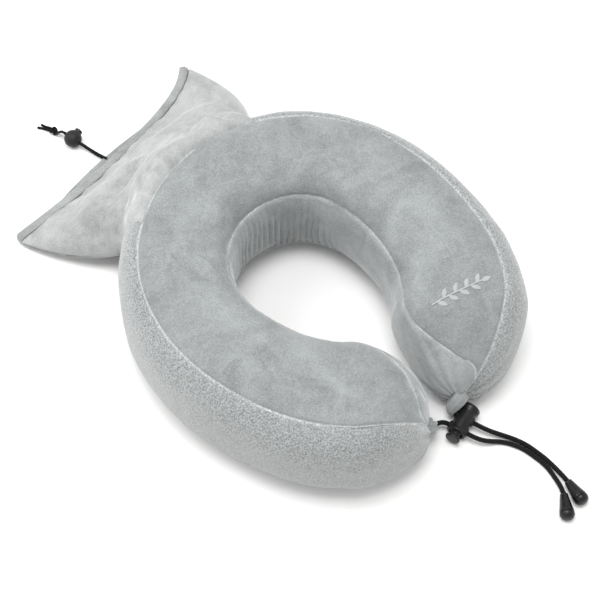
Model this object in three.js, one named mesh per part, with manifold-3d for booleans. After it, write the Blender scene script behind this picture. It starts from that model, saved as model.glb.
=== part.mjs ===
// U-shaped travel neck pillow: a moulded foam core in a zipped velour cover, a storage pouch
// sewn to the back with its own drawcord and ball lock, and two cords with a barrel lock that
// close the arms in front.
// Units are millimetres. +Z is up, the arms point to -Y and the pouch lies behind, towards +Y.
import * as THREE from "three";
import { mergeVertices } from "three/addons/utils/BufferGeometryUtils.js";
import Module from "manifold-3d";

const wasm = await Module();
wasm.setup();

// ---------------------------------------------------------------- driving dimensions
// The assembly stands on z = 0 with the middle of its base at the origin.
const pillowCentreY = -46.6;

// Plan of the pillow: radius of the centre line at angle f from the back is
// spineRadius[0] + spineRadius[1] cos f + spineRadius[2] cos 2f + spineRadius[3] cos 3f.
const spineRadius = [102, -4, 8, -2.5];
const spineBendEnd = THREE.MathUtils.degToRad(148);
const noseHalfSpread = 18;
const noseY = -129.5;
const armDrift = 5;
const armReach = 140;
// Section: a rounded box whose half-width and height change a little from back to front.
const halfWidth = [45, -4, 1];
const height = [94.5, 5];
const sectionPower = 3;
// Arm ends: the section narrows over tipLength into a small nose at noseHeight.
const tipLength = 54;
const tipWidthPower = 1.25;
const tipHeightPower = 1.85;
const noseHalfWidth = 6;
const noseHalfHeight = 7;
const noseHeight = 20.5;
// The pillow's own weight flattens the lowest part of its section by this much.
const restDepth = 1;
// Seams, as section angles from the outer side: 0 is straight out, 90 degrees is up.
const outerSeam = THREE.MathUtils.degToRad(60);
const innerSeam = THREE.MathUtils.degToRad(151);
const seamGap = 0.006;
const stations = 32;

const coverThickness = 1.8;
const coreClearance = 0.4;

// Front closure.
const cordDiameter = 3.6;
const cordHole = 4.4;
const lockHeadFace = [-3.2, -146, 7.8];
const lockTurn = THREE.MathUtils.degToRad(14);
const barrelRadius = 7.2;
const barrelStart = 6.2;
const barrelEnd = 30.5;
const barrelBore = 5.3;
const barrelBoreEnd = 28.5;
const holePlaces = [10.2, 20.2];
const plungerRadius = 4.9;
const plungerHeadRadius = 5.6;
const plungerEnd = 23.2;
const plungerTravel = 3;
const springWire = 0.5;
const lockSlide = 6;

const bellNarrowRadius = 3.1;
const bellWideRadius = 5.5;
const bellLength = 16;

// Pouch at the back.
const pouchThickness = 1.6;
const pouchStartY = 150.5;
const pouchStartZ = 74;
const pouchStartHalf = 66;
// The edge next to the pillow follows its round wall, and the side edges hang down beside it.
const pouchStartCurve = 15;
const pouchSideLeft = [28, 6];
const pouchSideRight = [42, 24];
const pouchMouthMiddleX = -11.5;
const pouchMouthHalf = 101.5;
const hemWidth = 6.5;
const hemHeight = 4.4;
const drawcordDiameter = 2;
const strandSpacing = 2.8;

const ballRadius = 7.2;
const buttonRadius = 3.3;
const buttonTravel = 2.5;

// Hidden zip low on the outer wall, under the pouch.
const zipHalfAngle = THREE.MathUtils.degToRad(40);
const zipParked = THREE.MathUtils.degToRad(-26);
const zipSectionAngle = THREE.MathUtils.degToRad(-22);

// ---------------------------------------------------------------- materials
const finish = (color, roughness) => new THREE.MeshStandardMaterial({ color, roughness, metalness: 0 });
const velour = 0xaab1b3;
const velourDark = 0x979fa2;
const blackPlastic = 0x1b1c1d;
const blackCord = 0x141414;
const steel = 0x9a9c9e;
const foam = 0xe8e4d8;

const pillow = new THREE.Group();
pillow.position.y = pillowCentreY;

function addPiece(name, geometry, color, roughness = 0.9) {
  const mesh = new THREE.Mesh(geometry, finish(color, roughness));
  mesh.name = name;
  pillow.add(mesh);
  return mesh;
}

// ---------------------------------------------------------------- surface helpers
const V = (x, y, z) => new THREE.Vector3(x, y, z);
const mix = (a, b, t) => a + (b - a) * t;

function volumeOf(geometry) {
  const p = geometry.getAttribute("position");
  const index = geometry.index;
  const corner = (i) => new THREE.Vector3().fromBufferAttribute(p, index.getX(i));
  let six = 0;
  for (let i = 0; i < index.count; i += 3) six += corner(i).dot(corner(i + 1).cross(corner(i + 2)));
  return six / 6;
}

// A BufferGeometry from shared points and triangles, turned so that its faces point out.
function closedSolid(points, faces) {
  const geometry = new THREE.BufferGeometry();
  const numbers = points.flatMap((p) => p.toArray());
  geometry.setAttribute("position", new THREE.Float32BufferAttribute(numbers, 3));
  geometry.setIndex(faces);
  if (volumeOf(geometry) < 0) {
    for (let i = 0; i < faces.length; i += 3) [faces[i], faces[i + 1]] = [faces[i + 1], faces[i]];
    geometry.setIndex(faces);
  }
  geometry.computeVertexNormals();
  return geometry;
}

// A sheet of cloth as a closed solid between two equal grids of points.
function sheetSolid(outside, inside) {
  const rows = outside.length;
  const columns = outside[0].length;
  const points = [...outside.flat(), ...inside.flat()];
  const at = (side, r, c) => side * rows * columns + r * columns + c;
  const faces = [];
  const quad = (a, b, c, d) => faces.push(a, b, c, a, c, d);
  for (let r = 0; r < rows - 1; r++) {
    for (let c = 0; c < columns - 1; c++) {
      quad(at(0, r, c), at(0, r + 1, c), at(0, r + 1, c + 1), at(0, r, c + 1));
      quad(at(1, r, c), at(1, r, c + 1), at(1, r + 1, c + 1), at(1, r + 1, c));
    }
    quad(at(0, r, 0), at(1, r, 0), at(1, r + 1, 0), at(0, r + 1, 0));
    quad(at(0, r, columns - 1), at(0, r + 1, columns - 1), at(1, r + 1, columns - 1), at(1, r, columns - 1));
  }
  for (let c = 0; c < columns - 1; c++) {
    quad(at(0, 0, c), at(0, 0, c + 1), at(1, 0, c + 1), at(1, 0, c));
    quad(at(0, rows - 1, c), at(1, rows - 1, c), at(1, rows - 1, c + 1), at(0, rows - 1, c + 1));
  }
  return closedSolid(points, faces);
}

// A solid through a row of equal closed rings; a loop joins the last ring to the first.
function ringSolid(rings, loop = false) {
  const count = rings[0].length;
  const points = rings.flat();
  const faces = [];
  const at = (r, c) => (r % rings.length) * count + (c % count);
  const spans = loop ? rings.length : rings.length - 1;
  for (let r = 0; r < spans; r++) {
    for (let c = 0; c < count; c++) {
      faces.push(at(r, c), at(r + 1, c), at(r + 1, c + 1), at(r, c), at(r + 1, c + 1), at(r, c + 1));
    }
  }
  if (!loop) {
    for (const [r, turned] of [[0, false], [rings.length - 1, true]]) {
      const middle = rings[r].reduce((sum, p) => sum.add(p), V(0, 0, 0)).divideScalar(count);
      const m = points.push(middle) - 1;
      for (let c = 0; c < count; c++) {
        if (turned) faces.push(m, at(r, c + 1), at(r, c));
        else faces.push(m, at(r, c), at(r, c + 1));
      }
    }
  }
  return closedSolid(points, faces);
}

// ---------------------------------------------------------------- booleans
function toManifold(geometry) {
  const bare = geometry.clone();
  bare.deleteAttribute("normal");
  bare.deleteAttribute("uv");
  const merged = mergeVertices(bare, 1e-4);
  return new wasm.Manifold(
    new wasm.Mesh({
      numProp: 3,
      vertProperties: merged.attributes.position.array,
      triVerts: new Uint32Array(merged.index.array),
    }),
  );
}

function fromManifold(made) {
  const mesh = made.getMesh();
  const geometry = new THREE.BufferGeometry();
  geometry.setAttribute("position", new THREE.BufferAttribute(mesh.vertProperties, 3));
  geometry.setIndex(new THREE.BufferAttribute(mesh.triVerts, 1));
  geometry.computeVertexNormals();
  return geometry;
}

function cut(base, ...tools) {
  let made = toManifold(base);
  for (const tool of tools) made = made.subtract(toManifold(tool));
  return fromManifold(made);
}

function join(...parts) {
  let made = toManifold(parts[0]);
  for (const part of parts.slice(1)) made = made.add(toManifold(part));
  return fromManifold(made);
}

// ---------------------------------------------------------------- the pillow's own surface
function spineLine() {
  const arc = [];
  for (let i = 0; i <= 60; i++) {
    const f = (spineBendEnd * i) / 60;
    const waves = spineRadius.reduce((sum, a, k) => sum + a * Math.cos(k * f), 0);
    arc.push(V(waves * Math.sin(f), waves * Math.cos(f), 0));
  }
  const last = arc[60];
  const nose = V(noseHalfSpread, noseY, 0);
  const ahead = last.clone().sub(arc[59]).normalize().multiplyScalar(last.distanceTo(nose) / 2);
  const run = new THREE.QuadraticBezierCurve3(last, last.clone().add(ahead), nose);
  const half = [...arc, ...run.getPoints(20).slice(1)];
  const both = [...half.slice(1).reverse().map((p) => V(-p.x, p.y, 0)), ...half];
  for (const p of both) p.x += armDrift * THREE.MathUtils.clamp(-p.y / armReach, 0, 1);
  const path = new THREE.CurvePath();
  for (let i = 0; i < both.length - 1; i++) path.add(new THREE.LineCurve3(both[i], both[i + 1]));
  return path;
}
const spine = spineLine();
const spineLength = spine.getLength();

// The section at a place along the spine, 0 at the left nose and 1 at the right one.
function sectionAt(u) {
  const here = spine.getPointAt(u);
  const before = spine.getPointAt(Math.max(0, u - 0.004));
  const after = spine.getPointAt(Math.min(1, u + 0.004));
  const along = after.sub(before).normalize();
  const out = V(-along.y, along.x, 0);
  const f = Math.atan2(Math.abs(here.x), here.y);
  const full = halfWidth.reduce((sum, a, k) => sum + a * Math.cos(k * f), 0);
  const tall = height[0] + height[1] * Math.cos(f);
  const fromNose = Math.min(u, 1 - u) * spineLength;
  const t = THREE.MathUtils.clamp(1 - fromNose / tipLength, 0, 1);
  const wide = Math.sqrt(1 - t ** tipWidthPower);
  const high = Math.sqrt(1 - t ** tipHeightPower);
  return {
    here,
    along,
    out,
    half: mix(noseHalfWidth, full, wide),
    top: mix(noseHeight + noseHalfHeight, tall, high),
    bottom: mix(noseHeight - noseHalfHeight, -restDepth, high),
  };
}

// A point of the section at an angle, moved in by a depth (out where it is negative).
function onSection(section, angle, depth) {
  const power = 2 / sectionPower;
  const bend = (v) => Math.sign(v) * Math.abs(v) ** power;
  const middle = (section.top + section.bottom) / 2;
  const rise = (section.top - section.bottom) / 2 - depth;
  const reach = section.half - depth;
  return section.here
    .clone()
    .addScaledVector(section.out, reach * bend(Math.cos(angle)))
    .setZ(Math.max(depth, middle + rise * bend(Math.sin(angle))));
}

// Places along the spine, closer together towards the noses.
const places = Array.from({ length: stations + 1 }, (_, i) => {
  const s = i / stations;
  return s - (0.35 * Math.sin(2 * Math.PI * s)) / (2 * Math.PI);
});
const sections = places.map(sectionAt);

// The four cover panels, each between two seams.
const turn = 2 * Math.PI;
const panels = [
  { name: "cover_outer_wall", from: -outerSeam, to: outerSeam, steps: 8, color: velourDark },
  { name: "cover_top_panel", from: outerSeam, to: innerSeam, steps: 7, color: velour },
  { name: "cover_inner_wall", from: innerSeam, to: turn - innerSeam, steps: 5, color: velourDark },
  { name: "cover_bottom_panel", from: turn - innerSeam, to: turn - outerSeam, steps: 7, color: velour },
];
const panelAngles = (panel) =>
  Array.from({ length: panel.steps + 1 }, (_, i) => mix(panel.from, panel.to, i / panel.steps));

for (const panel of panels) {
  const angles = panelAngles(panel);
  angles[0] += seamGap;
  angles[angles.length - 1] -= seamGap;
  const grid = (depth) => sections.map((s) => angles.map((a) => onSection(s, a, depth)));
  addPiece(panel.name, sheetSolid(grid(0), grid(coverThickness)), panel.color);
}

const coreAngles = panels.flatMap((panel) => panelAngles(panel).slice(0, -1));
const coreDepth = coverThickness + coreClearance;
const coreRings = sections.map((s) => coreAngles.map((angle) => onSection(s, angle, coreDepth)));
addPiece("foam_core", ringSolid(coreRings), foam);

// ---------------------------------------------------------------- front closure
// The barrel runs from the button's face along barrelAxis, and the cords cross it along cordAxis.
const barrelAxis = V(Math.cos(lockTurn), Math.sin(lockTurn), 0);
const cordAxis = V(Math.sin(lockTurn), -Math.cos(lockTurn), 0);
const up = V(0, 0, 1);
const down = V(0, 0, -1);
const lockPlace = new THREE.Matrix4().makeBasis(cordAxis, down, barrelAxis);
lockPlace.setPosition(V(...lockHeadFace));
const onLock = (s, across = 0) =>
  V(...lockHeadFace).addScaledVector(barrelAxis, s).addScaledVector(cordAxis, across);

// A turned shape on local z, from pairs of radius and place along z.
function turned(profile, sides = 20) {
  const outline = profile.map(([r, z]) => new THREE.Vector2(r, z));
  return new THREE.LatheGeometry(outline, sides).rotateX(Math.PI / 2);
}

// A straight hole or rod along local x, y or z.
function rod(radius, length, axis, place, sides = 12) {
  const geometry = new THREE.CylinderGeometry(radius, radius, length, sides);
  if (axis === "x") geometry.rotateZ(Math.PI / 2);
  if (axis === "z") geometry.rotateX(Math.PI / 2);
  return geometry.translate(...place);
}

function helix(radius, wire, from, to, turns) {
  const points = [];
  for (let i = 0; i <= turns * 10; i++) {
    const angle = (2 * Math.PI * i) / 10;
    const z = mix(from + wire, to - wire, i / (turns * 10));
    points.push(V(radius * Math.cos(angle), radius * Math.sin(angle), z));
  }
  return tube(points, wire, 6, points.length - 1);
}

// A round cord or wire along a smooth curve through the points.
function tube(points, radius, sides, steps) {
  const section = new THREE.Shape(
    Array.from({ length: sides }, (_, i) => {
      const angle = (2 * Math.PI * (i + 0.5)) / sides;
      return new THREE.Vector2(radius * Math.cos(angle), radius * Math.sin(angle));
    }),
  );
  const extrudePath = new THREE.CatmullRomCurve3(points, false, "centripetal");
  return new THREE.ExtrudeGeometry(section, { extrudePath, steps, bevelEnabled: false });
}

const barrelShape = turned([
  [0, barrelStart],
  [6.2, barrelStart],
  [barrelRadius, barrelStart + 1],
  [barrelRadius, barrelEnd - 4],
  [7.6, barrelEnd - 2.5],
  [7.6, barrelEnd - 0.8],
  [6.8, barrelEnd],
  [0, barrelEnd],
]);
const barrelBores = [
  rod(barrelBore, barrelBoreEnd, "z", [0, 0, barrelBoreEnd / 2], 20),
  ...holePlaces.map((s) => rod(cordHole / 2, 4 * barrelRadius, "x", [0, 0, s])),
];
addPiece("cord_lock_body", cut(barrelShape, ...barrelBores).applyMatrix4(lockPlace), blackPlastic, 0.4);

const plungerShape = turned([
  [0, 0],
  [plungerHeadRadius - 0.5, 0],
  [plungerHeadRadius, 0.5],
  [plungerHeadRadius, 2.4],
  [3.6, 2.9],
  [3.6, 5.2],
  [plungerRadius, 5.8],
  [plungerRadius, plungerEnd],
  [0, plungerEnd],
]);
// Each slot is longer than the cord is thick by the button's travel.
const plungerSlots = holePlaces.flatMap((s) => [
  rod(cordHole / 2, 4 * plungerRadius, "x", [0, 0, s]),
  rod(cordHole / 2, 4 * plungerRadius, "x", [0, 0, s - plungerTravel]),
  new THREE.BoxGeometry(4 * plungerRadius, cordHole, plungerTravel).translate(0, 0, s - plungerTravel / 2),
]);
const plunger = cut(plungerShape, ...plungerSlots);
addPiece("cord_lock_plunger", plunger.applyMatrix4(lockPlace), blackPlastic, 0.45);

const lockSpring = helix(3.4, springWire, plungerEnd + 0.3, barrelBoreEnd - 0.3, 3);
addPiece("cord_lock_spring", lockSpring.applyMatrix4(lockPlace), steel, 0.4);

// Fabric tabs that end the arms: each narrows from the nose to where its cord comes out.
function tab(name, side, end, heading) {
  const nose = sectionAt(side);
  const face = side === 0 ? nose.along.clone().negate() : nose.along.clone();
  const start = nose.here.clone().addScaledVector(face, 0.4).setZ(noseHeight);
  const sideways = V(-face.y, face.x, 0);
  const finishSideways = V(-heading.y, heading.x, 0);
  const halfway = start.clone().lerp(end, 0.55).setZ(mix(noseHeight, end.z, 0.5));
  const outlines = [
    [start, sideways, 4.6, 5.6],
    [halfway, sideways.clone().lerp(finishSideways, 0.5).normalize(), 3.6, 4.6],
    [end, finishSideways, 2.9, 3.4],
  ];
  const rings = outlines.map(([middle, widthAxis, wide, tall]) =>
    Array.from({ length: 10 }, (_, i) => {
      const angle = (2 * Math.PI * i) / 10;
      const offset = widthAxis.clone().multiplyScalar(wide * Math.cos(angle));
      return middle.clone().add(offset).addScaledVector(up, tall * Math.sin(angle));
    }),
  );
  addPiece(name, ringSolid(rings), velour);
}
const cordZ = lockHeadFace[2];
const rightCordStart = onLock(holePlaces[1], -barrelRadius - 1.2);
const leftCordStart = V(-3, -129.4, cordZ);
tab("cord_tab_right", 1, rightCordStart.clone().addScaledVector(cordAxis, -0.3), cordAxis);
tab("cord_tab_left", 0, leftCordStart.clone().add(V(-0.9, 0.1, 0)), V(1, 0, 0));

// Each cord runs out of its tab, straight through the lock, and then loosely on the floor.
const straightEnd = barrelRadius + lockSlide;
const floorCord = cordDiameter / 2 + 0.3;
const rightRoute = [
  rightCordStart,
  onLock(holePlaces[1], -3),
  onLock(holePlaces[1], barrelRadius - 2),
  onLock(holePlaces[1], straightEnd),
  V(22.4, -160.4, 6.3),
  V(26.2, -166.4, 4),
  V(29.9, -172.4, 2.3),
  V(32.8, -179.5, floorCord),
  V(34.8, -187.5, floorCord),
  V(35.6, -196, floorCord),
  V(35.9, -203.5, floorCord),
  V(35.5, -211, floorCord),
  V(34.5, -219, floorCord + 0.4),
  V(33.2, -226.3, 3.1),
];
const leftRoute = [
  leftCordStart,
  V(0.4, -130.2, cordZ),
  V(3.4, -132.7, cordZ),
  onLock(holePlaces[0], -barrelRadius),
  onLock(holePlaces[0], -3),
  onLock(holePlaces[0], barrelRadius - 2),
  onLock(holePlaces[0], straightEnd),
  V(12.7, -161.6, 6.6),
  V(17.2, -166, 4.3),
  V(22.3, -170.3, 2.4),
  V(26.2, -175.7, floorCord),
  V(28.9, -181.7, floorCord),
  V(30.8, -188.5, floorCord),
  V(31.6, -196, floorCord),
  V(31.9, -203.5, floorCord),
  V(31.2, -211, floorCord),
  V(29.3, -218, floorCord),
  V(27, -224.6, floorCord + 0.4),
  V(23.7, -230.9, 3.1),
];
addPiece("front_cord_right", tube(rightRoute, cordDiameter / 2, 8, 34), blackCord);
addPiece("front_cord_left", tube(leftRoute, cordDiameter / 2, 8, 42), blackCord);

// Bell-shaped cord ends, lying on the floor: a tapered body and a domed cap snapped into it.
const bellBody = turned([
  [0, 0],
  [bellNarrowRadius - 0.4, 0],
  [bellNarrowRadius, 0.6],
  [bellWideRadius, bellLength - 1],
  [bellWideRadius, bellLength],
  [3.2, bellLength],
  [3.2, bellLength - 4],
  [0, bellLength - 4],
], 16);
const bellCap = turned([
  [0, bellLength - 3.6],
  [2.9, bellLength - 3.6],
  [2.9, bellLength + 0.3],
  [bellWideRadius, bellLength + 0.3],
  [bellWideRadius, bellLength + 1.6],
  [4.6, bellLength + 3.6],
  [2.6, bellLength + 4.9],
  [0, bellLength + 5.3],
], 16);
function bell(side, cordEnd, heading) {
  const tilt = Math.asin((bellWideRadius - bellNarrowRadius) / bellLength);
  const flat = Math.cos(tilt);
  const ahead = V(Math.cos(heading) * flat, Math.sin(heading) * flat, Math.sin(tilt));
  const sideways = V(-Math.sin(heading), Math.cos(heading), 0);
  const place = new THREE.Matrix4().makeBasis(sideways, ahead.clone().cross(sideways), ahead);
  place.setPosition(cordEnd.clone().addScaledVector(ahead, 0.9).setZ(bellNarrowRadius + 0.25));
  addPiece("bell_body_" + side, bellBody.clone().applyMatrix4(place), blackPlastic, 0.4);
  addPiece("bell_cap_" + side, bellCap.clone().applyMatrix4(place), blackPlastic, 0.4);
}
bell("right", rightRoute.at(-1), THREE.MathUtils.degToRad(-107));
bell("left", leftRoute.at(-1), THREE.MathUtils.degToRad(-133));

// ---------------------------------------------------------------- storage pouch
// u runs across the pouch from -1 at the left to 1 at the right, v from the pillow to the mouth.
const across = Array.from({ length: 17 }, (_, i) => Math.sin((Math.PI / 2) * (i / 8 - 1)));
const along = Array.from({ length: 9 }, (_, i) => i / 8);
const upperLip = (u) => ({
  y: 207 + 4 * u + 9 * u * u + 14.2 * Math.max(0, u) ** 6,
  z: 19.5 + 10 * u,
});
const lowerLip = (u) => ({
  y: mix(222 + 6 * u - 14 * u * u, upperLip(u).y, u ** 4),
  z: 3.7 + 18 * Math.max(0, u) ** 3,
});
const bagX = (u, v) => mix(pouchStartHalf * u, pouchMouthMiddleX + pouchMouthHalf * u, v ** 0.8);
const startY = (u) => pouchStartY - pouchStartCurve * u * u;
const sideZ = (u, v) => (u < 0 ? mix(...pouchSideLeft, v ** 0.5) : mix(...pouchSideRight, v));
function bagPoint(u, v, upper) {
  const lip = upper ? upperLip(u) : lowerLip(u);
  const sag = upper ? 1 - v : (1 - v) ** 3;
  const start = upper ? pouchStartZ : pouchStartZ - 5;
  const open = (1 - Math.abs(u) ** 5) ** 0.6;
  const y = mix(startY(u), lip.y, v);
  const z = mix(sideZ(u, v), mix(lip.z, start, sag), open);
  return V(bagX(u, v), y, z);
}
const seamLift = pouchThickness / 2 + 0.45;
function bagPanel(name, upper, color) {
  const lift = upper ? seamLift : -seamLift;
  const grid = (offset) =>
    along.map((v) => across.map((u) => bagPoint(u, v * 0.98, upper).add(V(0, 0, lift + offset))));
  addPiece(name, sheetSolid(grid(pouchThickness / 2), grid(-pouchThickness / 2)), color);
}
bagPanel("pouch_upper_panel", true, velour);
bagPanel("pouch_lower_panel", false, velourDark);

// The strip by which the pouch is sewn into the pillow's outer seam.
const stripSections = sections.filter((s) => s.here.y > 84);
const stripAngles = [57, 48, 39, 31].map(THREE.MathUtils.degToRad);
// It stops this far behind the pouch's edge, so that the pouch can fold up.
const stripShort = 2.4;
const stripGrid = (depth) =>
  stripSections.map((s) => {
    const onWall = stripAngles.map((angle) => onSection(s, angle, depth));
    const x = onWall[3].x;
    return [...onWall, V(x, startY(x / pouchStartHalf) - stripShort, pouchStartZ + 1 - depth)];
  });
addPiece("pouch_seam_strip", sheetSolid(stripGrid(-0.3 - pouchThickness), stripGrid(-0.3)), velour);

// The hem is a folded channel along each lip; the drawcord runs through both and round the sides.
function lipPoint(u, upper) {
  const lift = upper ? seamLift : -seamLift;
  return bagPoint(u, 1, upper).add(V(0, 0, lift));
}
function lipLine(upper, reach, steps) {
  return Array.from({ length: steps + 1 }, (_, i) => lipPoint(mix(-reach, reach, i / steps), upper));
}
function sweptAlong(line, profile, loop = false) {
  const rings = line.map((p, i) => {
    const next = line[loop ? (i + 1) % line.length : Math.min(i + 1, line.length - 1)];
    const last = line[loop ? (i + line.length - 1) % line.length : Math.max(i - 1, 0)];
    const forward = next.clone().sub(last).normalize();
    const outward = V(0, 1, 0).addScaledVector(forward, -forward.y).normalize();
    const normal = forward.clone().cross(outward);
    return profile.map(([o, n]) => p.clone().addScaledVector(outward, o + 0.5).addScaledVector(normal, n));
  });
  return ringSolid(rings, loop);
}
const hemHalf = hemHeight / 2;
const hemProfile = [
  [0, -hemHalf + 0.6],
  [0.8, -hemHalf],
  [hemWidth - 1.4, -hemHalf],
  [hemWidth, 0],
  [hemWidth - 1.4, hemHalf],
  [0.8, hemHalf],
  [0, hemHalf - 0.6],
];
const ringProfile = (r, sides) =>
  Array.from({ length: sides }, (_, i) => {
    const angle = (2 * Math.PI * i) / sides;
    return [hemWidth / 2 + r * Math.cos(angle), r * Math.sin(angle)];
  });
const cordLoop = [...lipLine(true, 0.985, 16), ...lipLine(false, 0.985, 16).reverse()];
const hemChannel = sweptAlong(cordLoop, ringProfile(drawcordDiameter / 2 + 0.4, 6), true);
for (const upper of [true, false]) {
  const name = upper ? "pouch_hem_upper" : "pouch_hem_lower";
  addPiece(name, cut(sweptAlong(lipLine(upper, 0.955, 16), hemProfile), hemChannel), velourDark);
}
const cordProfile = ringProfile(drawcordDiameter / 2 - 0.1, 6);
addPiece("drawcord_in_hem", sweptAlong(cordLoop, cordProfile, true), blackCord);

// ---------------------------------------------------------------- pouch drawcord and ball lock
const strandRise = THREE.MathUtils.degToRad(10);
const strandTurn = THREE.MathUtils.degToRad(102);
const strandAxis = V(Math.cos(strandTurn), Math.sin(strandTurn), 0)
  .multiplyScalar(Math.cos(strandRise))
  .addScaledVector(up, Math.sin(strandRise));
const ballCentre = V(-17.4, 259, 7.4);
const buttonOut = V(strandAxis.y, -strandAxis.x, 0).normalize();
const buttonTilt = THREE.MathUtils.degToRad(12);
const buttonAxis = buttonOut.clone().multiplyScalar(Math.cos(buttonTilt));
buttonAxis.addScaledVector(buttonOut.clone().cross(strandAxis).normalize(), Math.sin(buttonTilt));
const strandSide = buttonAxis.clone().cross(strandAxis).normalize();
const ballPlace = new THREE.Matrix4().makeBasis(strandAxis, strandSide, buttonAxis).setPosition(ballCentre);
const strandHole = drawcordDiameter / 2 + 0.35;
const strandOffsets = [-strandSpacing / 2, strandSpacing / 2];
const ballShape = new THREE.SphereGeometry(ballRadius, 20, 14).rotateX(Math.PI / 2);
const buttonBore = buttonRadius + 0.35;
const ballBores = [
  rod(buttonBore, 2 * ballRadius, "z", [0, 0, ballRadius - 5.2], 16),
  ...strandOffsets.map((o) => rod(strandHole, 3 * ballRadius, "x", [0, o, 0], 10)),
];
addPiece("ball_lock_body", cut(ballShape, ...ballBores).applyMatrix4(ballPlace), blackPlastic, 0.55);
const buttonBase = -2.6;
const buttonTop = 9.2;
const buttonShape = turned([
  [0, buttonBase],
  [buttonRadius, buttonBase],
  [buttonRadius, buttonTop - 0.5],
  [buttonRadius - 0.5, buttonTop],
  [0, buttonTop],
], 16);
const buttonSlots = strandOffsets.flatMap((o) => [
  new THREE.BoxGeometry(20, 2 * strandHole, buttonTravel + 2 * strandHole).translate(0, o, buttonTravel / 2),
]);
const buttonWeb = new THREE.BoxGeometry(20, strandSpacing, buttonTravel + 2 * strandHole);
addPiece(
  "ball_lock_button",
  cut(buttonShape, ...buttonSlots, buttonWeb.translate(0, 0, buttonTravel / 2)).applyMatrix4(ballPlace),
  blackPlastic,
  0.5,
);
const ballSpring = helix(2.2, 0.3, -5.3, buttonBase - 0.2, 2);
addPiece("ball_lock_spring", ballSpring.applyMatrix4(ballPlace), steel, 0.4);

// Two strands of the drawcord leave the hem, pass the ball and end in one knot.
const knotCentre = V(-21.6, 278.6, 3.4);
const onStrand = (ahead, across) =>
  ballCentre.clone().addScaledVector(strandAxis, ahead).addScaledVector(strandSide, across);
const strandRoute = (o) => [
  onStrand(-30.8, o * 1.6).add(V(0, 0, 1.6)),
  onStrand(-23.5, o * 1.5).add(V(0, 0, 0.2)),
  onStrand(-17.5, o * 1.3),
  onStrand(-12, o),
  onStrand(-5, o),
  onStrand(2, o),
  onStrand(8, o),
  ballCentre.clone().addScaledVector(strandAxis, 12).add(V(-o * 0.75, 0, -1.3 + o * 0.55)),
  knotCentre.clone().add(V(0.8 - o * 0.95, -4.2, 0.4)),
];
addPiece("pouch_strand_left", tube(strandRoute(strandOffsets[0]), drawcordDiameter / 2, 8, 16), blackCord);
addPiece("pouch_strand_right", tube(strandRoute(strandOffsets[1]), drawcordDiameter / 2, 8, 16), blackCord);

const knotShape = new THREE.IcosahedronGeometry(3.6, 1).scale(1.1, 1, 0.85).translate(...knotCentre);
const tail = (x, z) => tube(
  [knotCentre, V(-22.6 + x, 283.5, 2.4 + z), V(-24.2 + x, 288.5, 1.3 + z), V(-26 + 1.6 * x, 292.5, 1.3)],
  drawcordDiameter / 2,
  8,
  6,
);
addPiece("drawcord_knot", join(knotShape, tail(-1.3, 0), tail(1.3, 0)), blackCord);

// ---------------------------------------------------------------- zip under the pouch
const zipSections = sections.filter((s) => Math.abs(Math.atan2(s.here.x, s.here.y)) < zipHalfAngle);
const zipAngle = (shift) => zipSectionAngle + THREE.MathUtils.degToRad(shift);
const tapeGrid = (depth) =>
  zipSections.map((s) => [-6, -2, 2, 6].map((shift) => onSection(s, zipAngle(shift), depth)));
addPiece("zip_tape", sheetSolid(tapeGrid(-1.1), tapeGrid(-0.4)), velourDark);
const coilLine = zipSections.map((s) => onSection(s, zipSectionAngle, -2.4));
addPiece("zip_coil", tube(coilLine, 0.9, 6, coilLine.length * 2), velourDark);
const coilZ = coilLine[0].z;
const radial = V(Math.sin(zipParked), Math.cos(zipParked), 0);
const tangent = V(radial.y, -radial.x, 0);
const zipRadius = Math.max(...coilLine.map((p) => Math.hypot(p.x, p.y))) + 1.4;
const zipPlace = new THREE.Matrix4().makeBasis(tangent, radial, up);
zipPlace.setPosition(radial.clone().multiplyScalar(zipRadius).setZ(coilZ));
const sliderBody = new THREE.BoxGeometry(9, 1.8, 7).translate(0, 1.1, 0);
const sliderLugs = [-3.4, 3.4].map((x) => new THREE.BoxGeometry(1.2, 3.2, 3).translate(x, 3.2, 0));
addPiece("zip_slider", join(sliderBody, ...sliderLugs).applyMatrix4(zipPlace), steel, 0.35);
const pullOutline = new THREE.Shape();
pullOutline.moveTo(-2.3, 1.1);
pullOutline.lineTo(-2.3, -12);
pullOutline.absarc(0, -12, 2.3, Math.PI, 2 * Math.PI, false);
pullOutline.lineTo(2.3, 1.1);
const pullEye = new THREE.Path();
pullEye.absarc(0, -11.6, 1.2, 0, 2 * Math.PI, true);
pullOutline.holes.push(pullEye);
const pull = new THREE.ExtrudeGeometry(pullOutline, { depth: 1, bevelEnabled: false, curveSegments: 5 });
addPiece("zip_pull", pull.rotateX(Math.PI / 2).translate(0, 3.9, 0).applyMatrix4(zipPlace), steel, 0.35);

export default pillow;
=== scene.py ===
# U-shaped travel neck pillow with a storage pouch sewn to its back and two cords in front.
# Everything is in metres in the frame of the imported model: +Z up, arms towards -Y.
import math

import bpy
import numpy as np
from mathutils import Matrix, Vector, noise
from mathutils.bvhtree import BVHTree


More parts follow.
